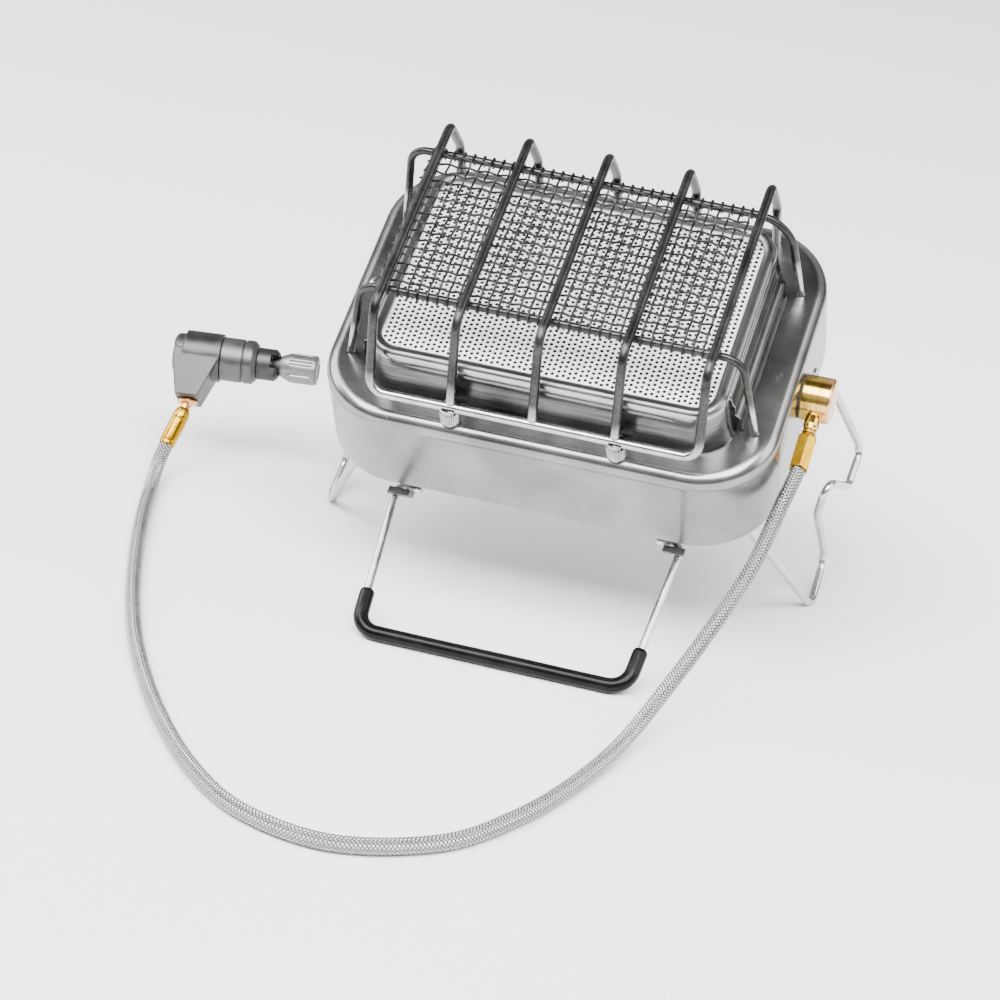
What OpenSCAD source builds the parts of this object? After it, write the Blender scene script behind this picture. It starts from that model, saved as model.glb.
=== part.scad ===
/* [Body] */
// Length of the body, left to right
body_length = 172.6; // [165:0.1:185]
// Depth of the body, front to back along its top plate
body_depth = 126; // [122:0.5:134]
// Height of the body from its lower edge to its top plate
body_height = 38; // [36:0.5:44]
// Corner radius of the body seen from above
body_corner = 30; // [22:0.5:34]
// Radius of the rounded edge round the top plate
body_rim = 5; // [3:0.25:6]
// How far the body's middle lies behind the burner's middle
body_offset = 2; // [1:0.5:3]
// Thickness of the pressed sheet
sheet = 0.8; // [0.6:0.1:1]
// Lean of the top plate towards the front
lean = 30; // [27:0.5:32]
// Height of the burner's middle above the ground
plate_height = 107.5; // [102:0.5:112]
// Thickness of the bottom cover
cover_sheet = 1; // [0.8:0.1:1.5]

/* [Burner] */
// Width of the plate left and right of the burner's window
side_margin = 23.3; // [21.5:0.1:26]
// Width of the plate before and behind the burner's window
end_margin = 21.8; // [20:0.1:25]
// Corner radius of the window
window_corner = 7.3; // [5:0.1:9]
// Width of the lip from the window to the frame's rounded edge
lip_width = 4.7; // [4:0.1:6]
// Height of the lip above the plate
frame_height = 20; // [18:0.5:23]
// Radius of the frame's rounded edge
frame_round = 2.5; // [1.5:0.1:3]
// How far the frame's wall spreads outward at its foot
foot_width = 2.3; // [1.5:0.1:3]
// Thickness of the ceramic tile
tile_thick = 13; // [11:0.5:14]
// How much wider the tile is than the window, each side
tile_overlap = 3; // [2:0.1:3.2]
// Thickness of the fibre gaskets above and below the tile
gasket = 1; // [0.8:0.1:1.2]
// Depth of the gas box below the tile
box_depth = 33; // [28:0.5:34]
// Outer radius of the mixing tube
mix_tube_r = 7; // [5:0.25:8]

/* [Guard] */
// Radius of the rib wires
rib_r = 1.75; // [1.4:0.05:2]
// Radius of the cross wires
cross_r = 1.5; // [1.3:0.05:1.8]
// How far the outer ribs stand inside the window's ends
rib_inset = 1; // [0.5:0.1:3]
// Height of the ribs above the plate at their front bend
rib_front_z = 40.5; // [38:0.5:44]
// Height of the ribs above the plate at their back bend
rib_back_z = 39.2; // [37:0.2:43]
// How far the front bends lie inside the window's front edge
rib_front_inset = 0.2; // [0:0.1:3]
// How far the back bends lie behind the window
rib_back_past = 8.3; // [6:0.1:9.5]
// How far the rib tails stand behind the window
tail_past = 16; // [14:0.1:16.2]
// Height of the knee where the tails turn down
knee_z = 20.5; // [16:0.5:26]
// How far the front rail stands before the window
rail_past = 14.3; // [13:0.1:15]
// Height of the front rail above the plate
rail_z = 8.5; // [7.5:0.1:10]
// Bend radius of the rib wires at the front
rib_bend = 8; // [6:0.5:9]
// Bend radius of the rib wires at the back
back_bend = 5; // [4:0.5:7]
// How far the front cross wire lies inside the window's front edge
cross_front_inset = 12.4; // [10:0.2:15]
// How far the rear cross wire lies inside the window's back edge
cross_back_inset = 2; // [1:0.2:5]
// How far a cross wire's ends stand inside the body's sides
cross_inset = 8.6; // [8:0.1:10.5]
// Thickness of the woven net
net_thick = 1.2; // [1:0.1:1.4]
// How far the net reaches past the left rib
net_past = 4; // [2:0.5:5]
// How far the net ends before the right rib
net_short = 4; // [3:0.5:8]
// Radius of the knurled posts that hold the rail
post_r = 3.65; // [3.5:0.05:4]

/* [Legs] */
// Radius of the front leg's wire
front_wire_r = 1.5; // [1.3:0.05:1.7]
// Outer radius of the black sleeve
sleeve_r = 2.9; // [2.5:0.05:3.2]
// How far the sleeve runs up each arm from the bar
sleeve_up = 17; // [14:0.5:24]
// Length of the front leg from its pivot to its bar
front_reach = 63; // [60:0.5:66]
// How far the front leg's arms stand outside its brackets
arm_outset = 5.5; // [5:0.1:6.5]
// How much the front leg's arms draw in towards the bar, each side
arm_taper = 4; // [2:0.5:6]
// How far the front leg's pivot lies behind the body's front wall
front_pivot_inset = 5; // [4:0.5:7]
// Depth of the front leg's pivot below the body's lower edge
front_pivot_drop = 8.5; // [8:0.25:10]
// Radius of the rear leg's wire
rear_wire_r = 1.6; // [1.4:0.05:1.7]
// How far the rear leg's pivot lies before the body's back wall
rear_pivot_inset = 45.5; // [44:0.5:47]
// Height of the rear leg's pivot above the body's lower edge
rear_pivot_rise = 8; // [7:0.5:10]
// How far the rear feet stand out from the body's sides
rear_outset = 12; // [10:0.5:14]
// How far the crossbar's ends lie inside the body's sides
crossbar_inset = 15.3; // [12:0.1:20]
// How far the crossbar lies behind the front leg's pivot
crossbar_back = 17.5; // [16:0.5:19]
// Thickness of the leg brackets
bracket_sheet = 1.2; // [1:0.1:1.4]
// How far a bracket's ear stands inside the body's sides
bracket_inset = 36.3; // [35:0.1:39]

/* [Inlet] */
// Radius of the brass elbow
elbow_r = 8.65; // [7:0.05:9]
// Length of the brass elbow
elbow_length = 11; // [9:0.5:13]
// Distance of the inlet behind the burner's middle
inlet_y = 1.5; // [-2:0.5:4]
// Depth of the inlet below the top plate
inlet_drop = 18; // [16:0.5:19]
// Radius of the inlet's threaded stud
stud_r = 4; // [3.5:0.1:4.5]
// Length of the elbow's narrow neck
neck_length = 7.35; // [5:0.05:10]
// Width across the flats of the ferrule at the elbow
ferrule_flats = 6.8; // [6.5:0.1:9]
// Length of the ferrule at the elbow
ferrule_length = 15.5; // [14:0.5:20]
// Outer radius of the braided hose
hose_r = 3; // [2.8:0.05:3.2]

/* [Valve] */
// Radius of the valve block round its axis
block_r = 9.7; // [9.2:0.1:10.4]
// Length of the valve block
block_length = 15; // [13:0.5:17]
// Radius of the threaded end
collar_r = 8.2; // [7.6:0.1:8.8]
// Length of the threaded end
collar_length = 4.2; // [3.6:0.2:6]
// Radius of the threaded bore for the gas canister
canister_r = 5.56; // [5.5:0.02:5.6]
// Depth of the threaded bore down to its seal
canister_depth = 7; // [6:0.25:7.5]
// Length of the thread in that bore
canister_thread = 4.2; // [3.8:0.1:4.2]
// Length of the block's tail from the axis to its flat end
tail_length = 19; // [17:0.5:22]
// Thickness of the block's tail
tail_thick = 17; // [14:0.5:17]
// Radius of the bonnet
bonnet_r = 8.75; // [8:0.05:9.2]
// Length of the bonnet's barrel
barrel_length = 8.6; // [7:0.2:10]
// Length of the bonnet's end ring
ring_length = 5; // [4:0.2:6]
// Radius of the dark gland
gland_r = 6.4; // [5.8:0.1:7]
// Length of the dark gland
gland_length = 8.6; // [7:0.2:10]
// Largest radius of the knob
knob_r = 6; // [5.5:0.1:6.5]
// Length of the knob
knob_length = 18.9; // [16:0.1:22]
// Radius of the spindle
spindle_r = 2.5; // [2.2:0.1:3]
// Radius of the ferrule at the valve
tail_ferrule_r = 3.3; // [3.25:0.05:4]
// Length of the ferrule at the valve
tail_ferrule_length = 16.4; // [14:0.2:20]

/* [Clearances] */
// Gap between a wire and the hole that it stands in
wire_gap = 0.15; // [0.1:0.01:0.25]
// Running gap round a hinge pin or a spindle
pin_gap = 0.08; // [0.05:0.01:0.1]
// Gap between pieces that are seated on one another
seat_gap = 0.2; // [0.15:0.01:0.25]
// Gap of a slide fit, such as the cover in the body
slide_gap = 0.15; // [0.1:0.01:0.2]
// Gap at a leg's stop
stop_gap = 0.3; // [0.25:0.01:0.4]
// Gap between the sleeve and its wire
sleeve_gap = 0.05; // [0.02:0.01:0.08]

/* [Hidden] */
$fn = 64;
// Overrun of every cut past the face that it opens
over = 1;
// A wire draws a little thinner in its bends, and its straight runs
// reach a little way into them
bend_thin = 0.02;
bend_lap = 0.2;

// Directions
x_dir = [1, 0, 0];
y_dir = [0, 1, 0];
z_dir = [0, 0, 1];

// Body, in the plate's frame
body_core = [body_length - 2 * body_corner, body_depth - 2 * body_corner];
body_front = body_offset - body_depth / 2;
body_back = body_offset + body_depth / 2;
wall_x = body_length / 2;
window_length = body_length - 2 * side_margin;
window_depth = body_depth - 2 * end_margin;
cover_top = cover_sheet - body_height;
cover_out = body_corner - sheet - slide_gap;
// Air slots in the cover
slot_length = 14;
slot_width = 3;
slot_pitch = 8;
slot_count = 5;
// Posts and screws that hold the cover
cover_post_r = 3.5;
cover_post_inset = [15.3, 16];
cover_post_x = wall_x - cover_post_inset.x;
cover_post_y = body_depth / 2 - cover_post_inset.y;
screw_r = 1.5;
screw_head_r = 3;
screw_head = 1.6;
screw_grip = 8;
driver_slot = 0.8;

// Burner, in the plate's frame: all its pieces share one core rectangle
burner_core = [window_length - 2 * window_corner, window_depth - 2 * window_corner];
frame_out = window_corner + lip_width;
foot_out = frame_out + foot_width;
box_out = frame_out - 1.25 * sheet;
tile_out = window_corner + tile_overlap;
tile_top = frame_height - sheet - gasket;
tile_low = tile_top - tile_thick;
box_top = tile_low - gasket;
box_low = box_top - box_depth;
hole_out = box_out + 0.8 * sheet;
bead_r = 0.55;
bead_drop = 4.3;
// Ridged strip on each short side of the frame
strip_half = window_depth * 0.4;
strip_out = 5.2;
// Stepped outline of that strip: how far out and how high, in shares
strip_out_shares = [0, 0.1, 0.38, 0.48, 0.78, 0.86, 1, 1];
strip_up_shares = [0.86, 0.86, 0.66, 0.42, 0.36, 0.1, 0.05, 0];
// Screw beside the burner
plate_screw_inset = 8.3;
plate_screw_x = wall_x - plate_screw_inset;
plate_screw_tail = 1;
nut_flats = 5.5;
nut_thick = 2.4;

// Gas path
mix_tube_inset = 9.3;
mix_tube_end = wall_x - mix_tube_inset;
mix_tube_start = 30;
tube_wall = 0.6;
jet_r = 2.4;
jet_length = 5;
jet_bore_r = 0.9;

// Guard, in the plate's frame
rib_top = window_length / 2 - rib_inset;
rib_pitch = rib_top / 2;
rib_front_y = window_depth / 2 - rib_front_inset;
rib_back_y = window_depth / 2 + rib_back_past;
tail_y = window_depth / 2 + tail_past;
rail_y = window_depth / 2 + rail_past;
cross_front_y = window_depth / 2 - cross_front_inset;
cross_back_y = window_depth / 2 - cross_back_inset;
cross_half = wall_x - cross_inset;
net_left = rib_top + net_past;
net_right = rib_top - net_short;
tail_depth = 3;
rail_bend = 6;
front_bend_radii = [8, 8];
back_bend_radii = [7, 15];
front_leans = [6.2, 6.2];
back_leans = [3.6, 6.2];
cross_splay = [4.8, 5.4];
cross_foot_front = cross_front_y + cross_splay[0];
cross_foot_back = cross_back_y - cross_splay[1];
clip_ring = 1.15;
clip_thick = 0.5;
// Net bars: widths and counts
net_bar = 1;
net_count = [25, 12];
// Posts
post_over_rail = 0.8;
post_top = rail_z + post_over_rail;
post_shift = 0.5;
post_slot = 4.8;
post_stud_r = 1.6;
post_peen_r = 2.3;
post_peen = 1;
post_peen_drop = 0.5;

// Legs
bracket_x = wall_x - bracket_inset;
front_top_half = bracket_x + arm_outset;
front_bar_half = front_top_half - arm_taper;
front_pivot_y = -body_front - front_pivot_inset;
rear_pivot_y = body_back - rear_pivot_inset;
crossbar_half = wall_x - crossbar_inset;
crossbar_y = front_pivot_y - crossbar_back;
sleeve_bore = front_wire_r + sleeve_gap;
front_bends = [3.5, 8, 8, 3.5];
pin_inset = 9.5;
front_pivot_z = -body_height - front_pivot_drop;
rear_pivot_z = rear_pivot_rise - body_height;
bracket_web = 1.4;
crossbar_z = -body_height - bracket_sheet - bracket_web - stop_gap - rear_wire_r;
rear_pin_in = 2.3;
rear_pin_out = 6.2;
// Outline of the rear leg from its pivot to its foot: outset, then
// how far back and how far down, in shares of the outset and the drop
rear_shares = [
    [1.475, 0.321, 0.410], [1.39, 0.174, 0.528], [1.04, -0.133, 0.394],
    [0.81, -0.075, 0.573], [0.975, 0.181, 0.880], [1, -0.043, 1]
];
rear_bends = [4, 5, 4, 4, 10, 6, 5, 6];
eyelet_flange = 0.6;
eyelet_r = 2.6;
eyelet_flange_r = 4.2;
// Leg brackets
flange_width = 14;
ear_r = 4;
lug_length = 3;
lug_thick = 1.2;
lug_width = 7;
flange_inset = 1.8;
rivet_front_inset = 6;
rivet_back_inset = 1;
rivet_r = 1.6;
rivet_head_r = 2.9;
rivet_head = 1;

// Inlet, in the plate's frame
washer_thick = 0.8;
washer_inset = 0.4;
washer_r = elbow_r - washer_inset;
elbow_chamfer = 0.8;
inlet_lean = 5;
inlet_z = -inlet_drop;
elbow_x = wall_x + washer_thick;
neck_x = elbow_x + elbow_length / 2;
elbow_bore_r = 1.5;
neck_r = 3;
neck_waist_r = 2.4;
stud_length = 7;
inlet_nut_flats = 12;
inlet_nut_thick = 3.5;
ferrule_nose = 3;
ferrule_nose_r = 2.9;
ferrule_dir = [0, -cos(inlet_lean), -sin(inlet_lean)];
ferrule_start = elbow_r + neck_length;

// Valve: its place over the ground, the way its spindle points and
// the way its tail points; the hose holds it up
valve_place = [-163.7, 45, 43.7];
valve_turn = 10.35;
tail_aim = [0.113, -0.62, -0.77];
hose_aim = [-0.2, -0.6, -0.775];
block_start = -4;
collar_start = block_start - collar_length;
tail_left = 7.8;
tail_right = 9.8;
tail_end_half = 4.5;
collar_round = 2;
insert_wall = 1.2;
seal_thick = 1.2;
seal_r = 1;
pin_r = 1;
pin_length = 4;
flare_r = 4.2;
flare_length = 1.6;
flare_waist_r = 2;
flare_neck = 1.8;
groove_depth = 0.6;
groove_width = 0.8;
ring_chamfer = 1.6;
gland_chamfer = 1.5;
knob_sunk = 3;
knob_nose_r = 2.3;
knob_taper = 8.4;
gland_recess_r = 4.6;
gland_notch = 5.4;
knob_round = 1.6;
knob_recess_r = 3.2;
knob_recess = 1.5;
flute_count = 8;
flute_r = 1.5;
knob_screw_r = 1.4;
knob_screw_head_r = 2.6;

// Route of the hose over the ground, between its two ferrules
hose_route = [
    [90.5, -26, 65], [86, -45.5, 47], [77, -68, 28], [69.5, -88, 15.5],
    [61.5, -117, 5.5], [53, -149, 3.2], [41, -180.5, 3.1],
    [22.5, -207.5, 3.1], [-10.5, -223, 3.1], [-44, -216.5, 3.1],
    [-70, -196, 3.1], [-95, -164, 3.1], [-117, -127, 3.1],
    [-133, -92, 3.1], [-146, -57, 3.1], [-156.5, -24, 3.2],
    [-162.8, 0, 3.5], [-165.6, 13, 6.6]
];
hose_sides = 12;
hose_steps = 2;
hose_lead = 20;

// Vector helpers
function unit(v) = v / norm(v);
function bent(a, b) = acos(max(-1, min(1, a * b)));

// From the plate's frame to the ground's
function over_ground(p) = [
    p.x, p.y * cos(lean) - p.z * sin(lean),
    p.y * sin(lean) + p.z * cos(lean) + plate_height
];
function ground(p) = over_ground(p) + plate_y * y_dir;
function ground_dir(d) = over_ground(d) - over_ground([0, 0, 0]);

// Front leg: how far its bar lies before and below its pivot
front_pivot_g = over_ground([0, -front_pivot_y, front_pivot_z]);
front_drop = front_pivot_g.z - sleeve_r;
front_level = sqrt(front_reach * front_reach - front_drop * front_drop);

// The whole heater is centred front to back over its resting place
front_extent = front_pivot_g.y - front_level - sleeve_r;
back_extent = body_back * cos(lean) + body_height * sin(lean);
plate_y = -(front_extent + back_extent) / 2;

// Rear leg: its pivot and how far its foot lies below
rear_pivot = ground([0, rear_pivot_y, rear_pivot_z]);
rear_drop = rear_pivot.z - rear_wire_r;

module on_plate() {
    translate([0, plate_y, plate_height])
        rotate([lean, 0, 0])
            children();
}

// Puts its children at a point, with their x axis along ax and z along az
module placed(at, ax, az) {
    ay = cross(az, ax);
    multmatrix([
        [ax.x, ay.x, az.x, at.x],
        [ax.y, ay.y, az.y, at.y],
        [ax.z, ay.z, az.z, at.z],
        [0, 0, 0, 1]
    ]) children();
}

// Straight rod from a to b
module rod(a, b, r) {
    d = unit(b - a);
    side = unit(cross(abs(d.x) < 0.9 ? x_dir : y_dir, d));
    placed(a, side, d) cylinder(h = norm(b - a), r = r);
}

// Wire through corner points, with a round bend at each inner corner
function bend_cut(p, i, bends) =
    i == 0 || i == len(p) - 1 ? 0 :
    bends[i - 1] * tan(bent(unit(p[i] - p[i - 1]), unit(p[i + 1] - p[i])) / 2);
module wire(p, r, bends) {
    last = len(p) - 1;
    for (i = [0 : last - 1]) {
        d = unit(p[i + 1] - p[i]);
        rod(p[i] + (bend_cut(p, i, bends) - (i > 0 ? bend_lap : 0)) * d,
            p[i + 1] - (bend_cut(p, i + 1, bends)
                - (i < last - 1 ? bend_lap : 0)) * d, r);
    }
    for (i = [1 : last - 1]) {
        d = unit(p[i] - p[i - 1]);
        e = unit(p[i + 1] - p[i]);
        inward = unit(e - (d * e) * d);
        start = p[i] - bend_cut(p, i, bends) * d;
        placed(start + bends[i - 1] * inward, -inward, cross(-inward, d))
            rotate_extrude(angle = bent(d, e))
                translate([bends[i - 1], 0])
                    circle(r = r - bend_thin);
    }
}

// Sweeps a flat outline round a rectangle: its x runs outward, its y up
module loop_sweep(core) {
    for (side = [0 : 3]) {
        run = side % 2 == 0 ? core.y : core.x;
        reach = side % 2 == 0 ? core.x / 2 : core.y / 2;
        rotate([0, 0, 90 * side]) translate([reach, run / 2, 0]) {
            rotate([90, 0, 0]) linear_extrude(height = run) children();
            rotate_extrude(angle = 90) children();
        }
    }
}

// Slab with round corners between two heights
module slab(core, out, low, high) {
    loop_sweep(core) translate([0, low]) square([out, high - low]);
    translate([-core.x / 2, -core.y / 2, low])
        cube([core.x, core.y, high - low]);
}

module at_body() {
    translate([0, body_offset, 0]) children();
}

// Section of the shell: top strip, round rim and wall
module shell_section() {
    translate([0, -sheet]) square([body_corner - body_rim, sheet]);
    translate([body_corner - sheet, -body_height])
        square([sheet, body_height - body_rim]);
    translate([body_corner - body_rim, -body_rim])
        intersection() {
            difference() {
                circle(r = body_rim);
                circle(r = body_rim - sheet);
            }
            square(body_rim);
        }
}

// Where each wire of the guard goes through the plate
rib_xs = [for (i = [-2 : 2]) i * rib_pitch];
post_xs = [-rib_pitch - post_shift, rib_pitch + post_shift];
function post_places() = [
    for (sx = [-1, 1]) for (sy = [-1, 1])
        [sx * cover_post_x, body_offset + sy * cover_post_y]
];

module body_shell() {
    color("silver") on_plate() difference() {
        union() {
            at_body() loop_sweep(body_core) shell_section();
            at_body() translate([-body_core.x / 2, -body_core.y / 2, -sheet])
                cube([body_core.x, body_core.y, sheet]);
        }
        slab(burner_core, hole_out, -sheet - over, over);
        for (x = rib_xs) translate([x, tail_y, -sheet - over])
            cylinder(h = sheet + 2 * over, r = rib_r + wire_gap);
        for (leg = cross_legs) rod(leg[0], leg[1], cross_r + wire_gap);
        for (x = post_xs) translate([x, -rail_y, -sheet - over])
            cylinder(h = sheet + 2 * over, r = post_stud_r + slide_gap);
        translate([-plate_screw_x, 0, -sheet - over])
            cylinder(h = sheet + 2 * over, r = screw_r + slide_gap);
        translate([wall_x - sheet - over, inlet_y, inlet_z])
            rotate([0, 90, 0])
                cylinder(h = sheet + 2 * over, r = stud_r + slide_gap);
        for (side = [-1, 1])
            translate([side * (wall_x - sheet / 2), rear_pivot_y, rear_pivot_z])
                rotate([0, 90, 0])
                    cylinder(h = sheet + 2 * over, r = eyelet_r + slide_gap,
                        center = true);
    }
}

module bottom_cover() {
    color("silver") on_plate() difference() {
        at_body() slab(body_core, cover_out, -body_height, cover_top);
        for (p = post_places()) translate([p.x, p.y, -body_height - over])
            cylinder(h = cover_sheet + 2 * over, r = screw_r + slide_gap);
        for (p = rivet_places) translate([p.x, p.y, -body_height - over])
            cylinder(h = cover_sheet + 2 * over, r = rivet_r + slide_gap);
        for (row = [-1, 1]) for (i = [0 : slot_count - 1])
            translate([
                row * (slot_length + slot_pitch) / 2 - slot_length / 2,
                body_offset + i * slot_pitch, -body_height - over
            ]) cube([slot_length, slot_width, cover_sheet + 2 * over]);
    }
}

module cover_posts() {
    color("lightgray") on_plate()
        for (p = post_places()) translate([p.x, p.y, cover_top])
            difference() {
                cylinder(h = -sheet - cover_top, r = cover_post_r);
                translate([0, 0, -over])
                    cylinder(h = screw_grip + over, r = screw_r + pin_gap);
            }
}

// Pan-head screw: its shank points up, its head hangs below
module pan_screw(grip) {
    difference() {
        union() {
            cylinder(h = grip, r = screw_r);
            translate([0, 0, -screw_head])
                cylinder(h = screw_head, r = screw_head_r);
        }
        for (turn = [0, 90]) rotate([0, 0, turn])
            translate([-screw_head_r / 2, -driver_slot / 2, -screw_head - over])
                cube([screw_head_r, driver_slot, screw_head / 2 + over]);
    }
}

module cover_screws() {
    color("gray") on_plate()
        for (p = post_places()) translate([p.x, p.y, -body_height])
            pan_screw(screw_grip);
}

// Section of the burner frame: lip, rounded edge, flared wall and bead
module frame_section() {
    edge = frame_out - frame_round;
    top = frame_height - frame_round;
    translate([window_corner, frame_height - sheet])
        square([edge - window_corner, sheet]);
    translate([edge, top]) intersection() {
        difference() {
            circle(r = frame_round);
            circle(r = frame_round - sheet);
        }
        square(frame_round);
    }
    polygon([
        [frame_out, top], [foot_out, 0],
        [foot_out - sheet, 0], [frame_out - sheet, top]
    ]);
    translate([frame_out + foot_width * bead_drop / frame_height / 2,
        frame_height - bead_drop]) circle(r = bead_r);
}

// Ridged strip along a short side, outside the wall
module side_strip() {
    outer = [for (i = [0 : len(strip_out_shares) - 1])
        [frame_out + strip_out * strip_out_shares[i],
            frame_height * strip_up_shares[i]]];
    wall = foot_out - frame_out;
    translate([burner_core.x / 2, strip_half, 0])
        rotate([90, 0, 0])
            linear_extrude(height = 2 * strip_half)
                polygon(concat([[foot_out - sheet / 2, 0]],
                    [[frame_out - sheet / 2 + wall * (1 - strip_up_shares[0]),
                        frame_height * strip_up_shares[0]]], outer));
}

module burner_frame() {
    color("silver") on_plate() {
        loop_sweep(burner_core) frame_section();
        side_strip();
        mirror(x_dir) side_strip();
    }
}

module plate_screw() {
    color("lightgray") on_plate()
        translate([-plate_screw_x, 0, 0])
            mirror(z_dir) pan_screw(sheet + nut_thick + plate_screw_tail);
}

module plate_screw_nut() {
    color("gray") on_plate()
        translate([-plate_screw_x, 0, -sheet - nut_thick])
            hex_nut(nut_flats, nut_thick, screw_r);
}

module hex_nut(flats, thick, bore) {
    difference() {
        cylinder(h = thick, d = flats / cos(30), $fn = 6);
        translate([0, 0, -over])
            cylinder(h = thick + 2 * over, r = bore + pin_gap);
    }
}

module ceramic_tile() {
    color("ivory") on_plate() slab(burner_core, tile_out, tile_low, tile_top);
}

module tile_gaskets() {
    color("dimgray") on_plate() {
        loop_sweep(burner_core) translate([window_corner + seat_gap, tile_top])
            square([lip_width - frame_round - 2 * seat_gap, gasket]);
        loop_sweep(burner_core) translate([window_corner, box_top])
            square([box_out - window_corner, gasket]);
    }
}

module gas_box() {
    color("gray") on_plate() difference() {
        union() {
            loop_sweep(burner_core) {
                translate([box_out - sheet, box_low])
                    square([sheet, box_depth]);
                translate([box_out, box_top - sheet])
                    square([foot_out - sheet - box_out - seat_gap
                        - foot_width * box_top / frame_height, sheet]);
                translate([window_corner, box_top - sheet])
                    square([box_out - sheet - window_corner, sheet]);
            }
            slab(burner_core, box_out - sheet, box_low, box_low + sheet);
        }
        translate([burner_core.x / 2, inlet_y, inlet_z]) rotate([0, 90, 0])
            cylinder(h = box_out + over, r = mix_tube_r + pin_gap);
    }
}

module mixing_tube() {
    color("lightgray") on_plate()
        translate([-mix_tube_start, inlet_y, inlet_z]) rotate([0, 90, 0])
            difference() {
                cylinder(h = mix_tube_start + mix_tube_end, r = mix_tube_r);
                translate([0, 0, -over])
                    cylinder(h = mix_tube_start + mix_tube_end + 2 * over,
                        r = mix_tube_r - tube_wall);
            }
}

module gas_jet() {
    color("goldenrod") on_plate()
        translate([jet_x, inlet_y, inlet_z]) rotate([0, 90, 0])
            difference() {
                cylinder(h = jet_length, r = jet_r);
                translate([0, 0, -over])
                    cylinder(h = jet_length + 2 * over, r = jet_bore_r);
            }
}
stud_end = elbow_x - stud_length;
jet_x = stud_end - jet_length;

// Posts with a slot for the rail and a peened stud below the plate
module knurled_posts() {
    color("lightgray") on_plate()
        for (x = post_xs) translate([x, -rail_y, 0]) {
            difference() {
                cylinder(h = post_top, r = post_r);
                translate([-post_r - over, -post_slot / 2,
                    rail_z - rib_r - seat_gap])
                    cube([2 * (post_r + over), post_slot, post_top]);
            }
            translate([0, 0, -sheet - post_peen_drop])
                cylinder(h = sheet + post_peen_drop, r = post_stud_r);
            translate([0, 0, -sheet - post_peen_drop - post_peen])
                cylinder(h = post_peen, r = post_peen_r);
        }
}

// Points of a rib from its tail to its front bend
function rib_points(x) = [
    [x, tail_y, -tail_depth], [x, tail_y, knee_z],
    [x, rib_back_y, rib_back_z], [x, -rib_front_y, rib_front_z]
];

module guard_frame() {
    left = rib_points(-rib_top);
    right = rib_points(rib_top);
    color("gray") on_plate()
        wire(concat(left,
            [[-rib_top, -rail_y, rail_z], [rib_top, -rail_y, rail_z]],
            [for (i = [3 : -1 : 0]) right[i]]), rib_r,
            [rib_bend, back_bend, rib_bend, rail_bend,
                rail_bend, rib_bend, back_bend, rib_bend]);
}

// A middle rib stops where it meets the rail
module middle_rib(x) {
    bend = [x, -rib_front_y, rib_front_z];
    rail = [x, -rail_y, rail_z];
    end = rail + (rib_r + seat_gap / 2) * unit(bend - rail);
    color("gray") on_plate()
        wire(concat(rib_points(x), [end]), rib_r, [rib_bend, back_bend, rib_bend]);
}

module guard_rib_2() { middle_rib(rib_xs[1]); }
module guard_rib_3() { middle_rib(rib_xs[2]); }
module guard_rib_4() { middle_rib(rib_xs[3]); }

// Height of a rib's middle above the plate at a given place
function rib_line(y) = rib_front_z
    + (rib_back_z - rib_front_z) * (y + rib_front_y) / (rib_back_y + rib_front_y);
cross_under = rib_r + net_thick + cross_r + 2 * seat_gap;
front_cross = [0, -cross_front_y, rib_line(-cross_front_y) - cross_under];
back_cross = [0, cross_back_y, rib_line(cross_back_y) - cross_under];

function cross_points(middle, foot_y, leans) = [
    [-cross_half, foot_y, -tail_depth],
    middle - (cross_half - leans[0]) * x_dir,
    middle + (cross_half - leans[1]) * x_dir,
    [cross_half, foot_y, -tail_depth]
];
front_points_across = cross_points(front_cross, -cross_foot_front, front_leans);
back_points_across = cross_points(back_cross, cross_foot_back, back_leans);
// The legs of the cross wires lean, and so do their holes in the plate
cross_legs = [for (p = [front_points_across, back_points_across])
    each [[p[0], p[1]], [p[3], p[2]]]];

module front_cross_wire() {
    color("gray") on_plate() wire(front_points_across, cross_r, front_bend_radii);
}
module rear_cross_wire() {
    color("gray") on_plate() wire(back_points_across, cross_r, back_bend_radii);
}

// Half a sleeve round a cross wire, on its outer side
module net_hook(side) {
    inner = cross_r + seat_gap;
    rotate([0, 90, 0]) difference() {
        cylinder(h = net_left + net_right, r = inner + net_thick);
        translate([0, 0, -over])
            cylinder(h = net_left + net_right + 2 * over, r = inner);
        translate([-2 * inner - net_thick, side > 0 ? -4 * inner : 0, -over])
            cube([4 * inner + 2 * net_thick, 4 * inner,
                net_left + net_right + 2 * over]);
    }
}

module guard_net() {
    span = norm(back_cross - front_cross);
    pitch_x = (net_left + net_right - net_bar) / net_count.x;
    pitch_y = (span - net_bar) / net_count.y;
    color("dimgray") on_plate()
        placed(front_cross - net_left * x_dir, x_dir,
            cross(x_dir, unit(back_cross - front_cross))) {
            translate([0, 0, cross_r + seat_gap])
                linear_extrude(height = net_thick) difference() {
                    square([net_left + net_right, span]);
                    for (i = [0 : net_count.x - 1]) for (j = [0 : net_count.y - 1])
                        translate([net_bar + i * pitch_x, net_bar + j * pitch_y])
                            square([pitch_x - net_bar, pitch_y - net_bar]);
                }
            net_hook(-1);
            translate([0, span, 0]) net_hook(1);
        }
}

module guard_clips() {
    color("lightgray") on_plate() {
        for (x = rib_xs) clip([[x, tail_y, -tail_depth], [x, tail_y, knee_z]], rib_r);
        for (leg = cross_legs) clip(leg, cross_r);
    }
}

// Spring ring on a wire, just below the plate
module clip(leg, r) {
    low = -sheet - seat_gap - clip_thick;
    share = (low - leg[0].z) / (leg[1].z - leg[0].z);
    difference() {
        translate(leg[0] + share * (leg[1] - leg[0]))
            cylinder(h = clip_thick, r = r + clip_ring);
        rod(leg[0], leg[1], r + pin_gap);
    }
}

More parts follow.
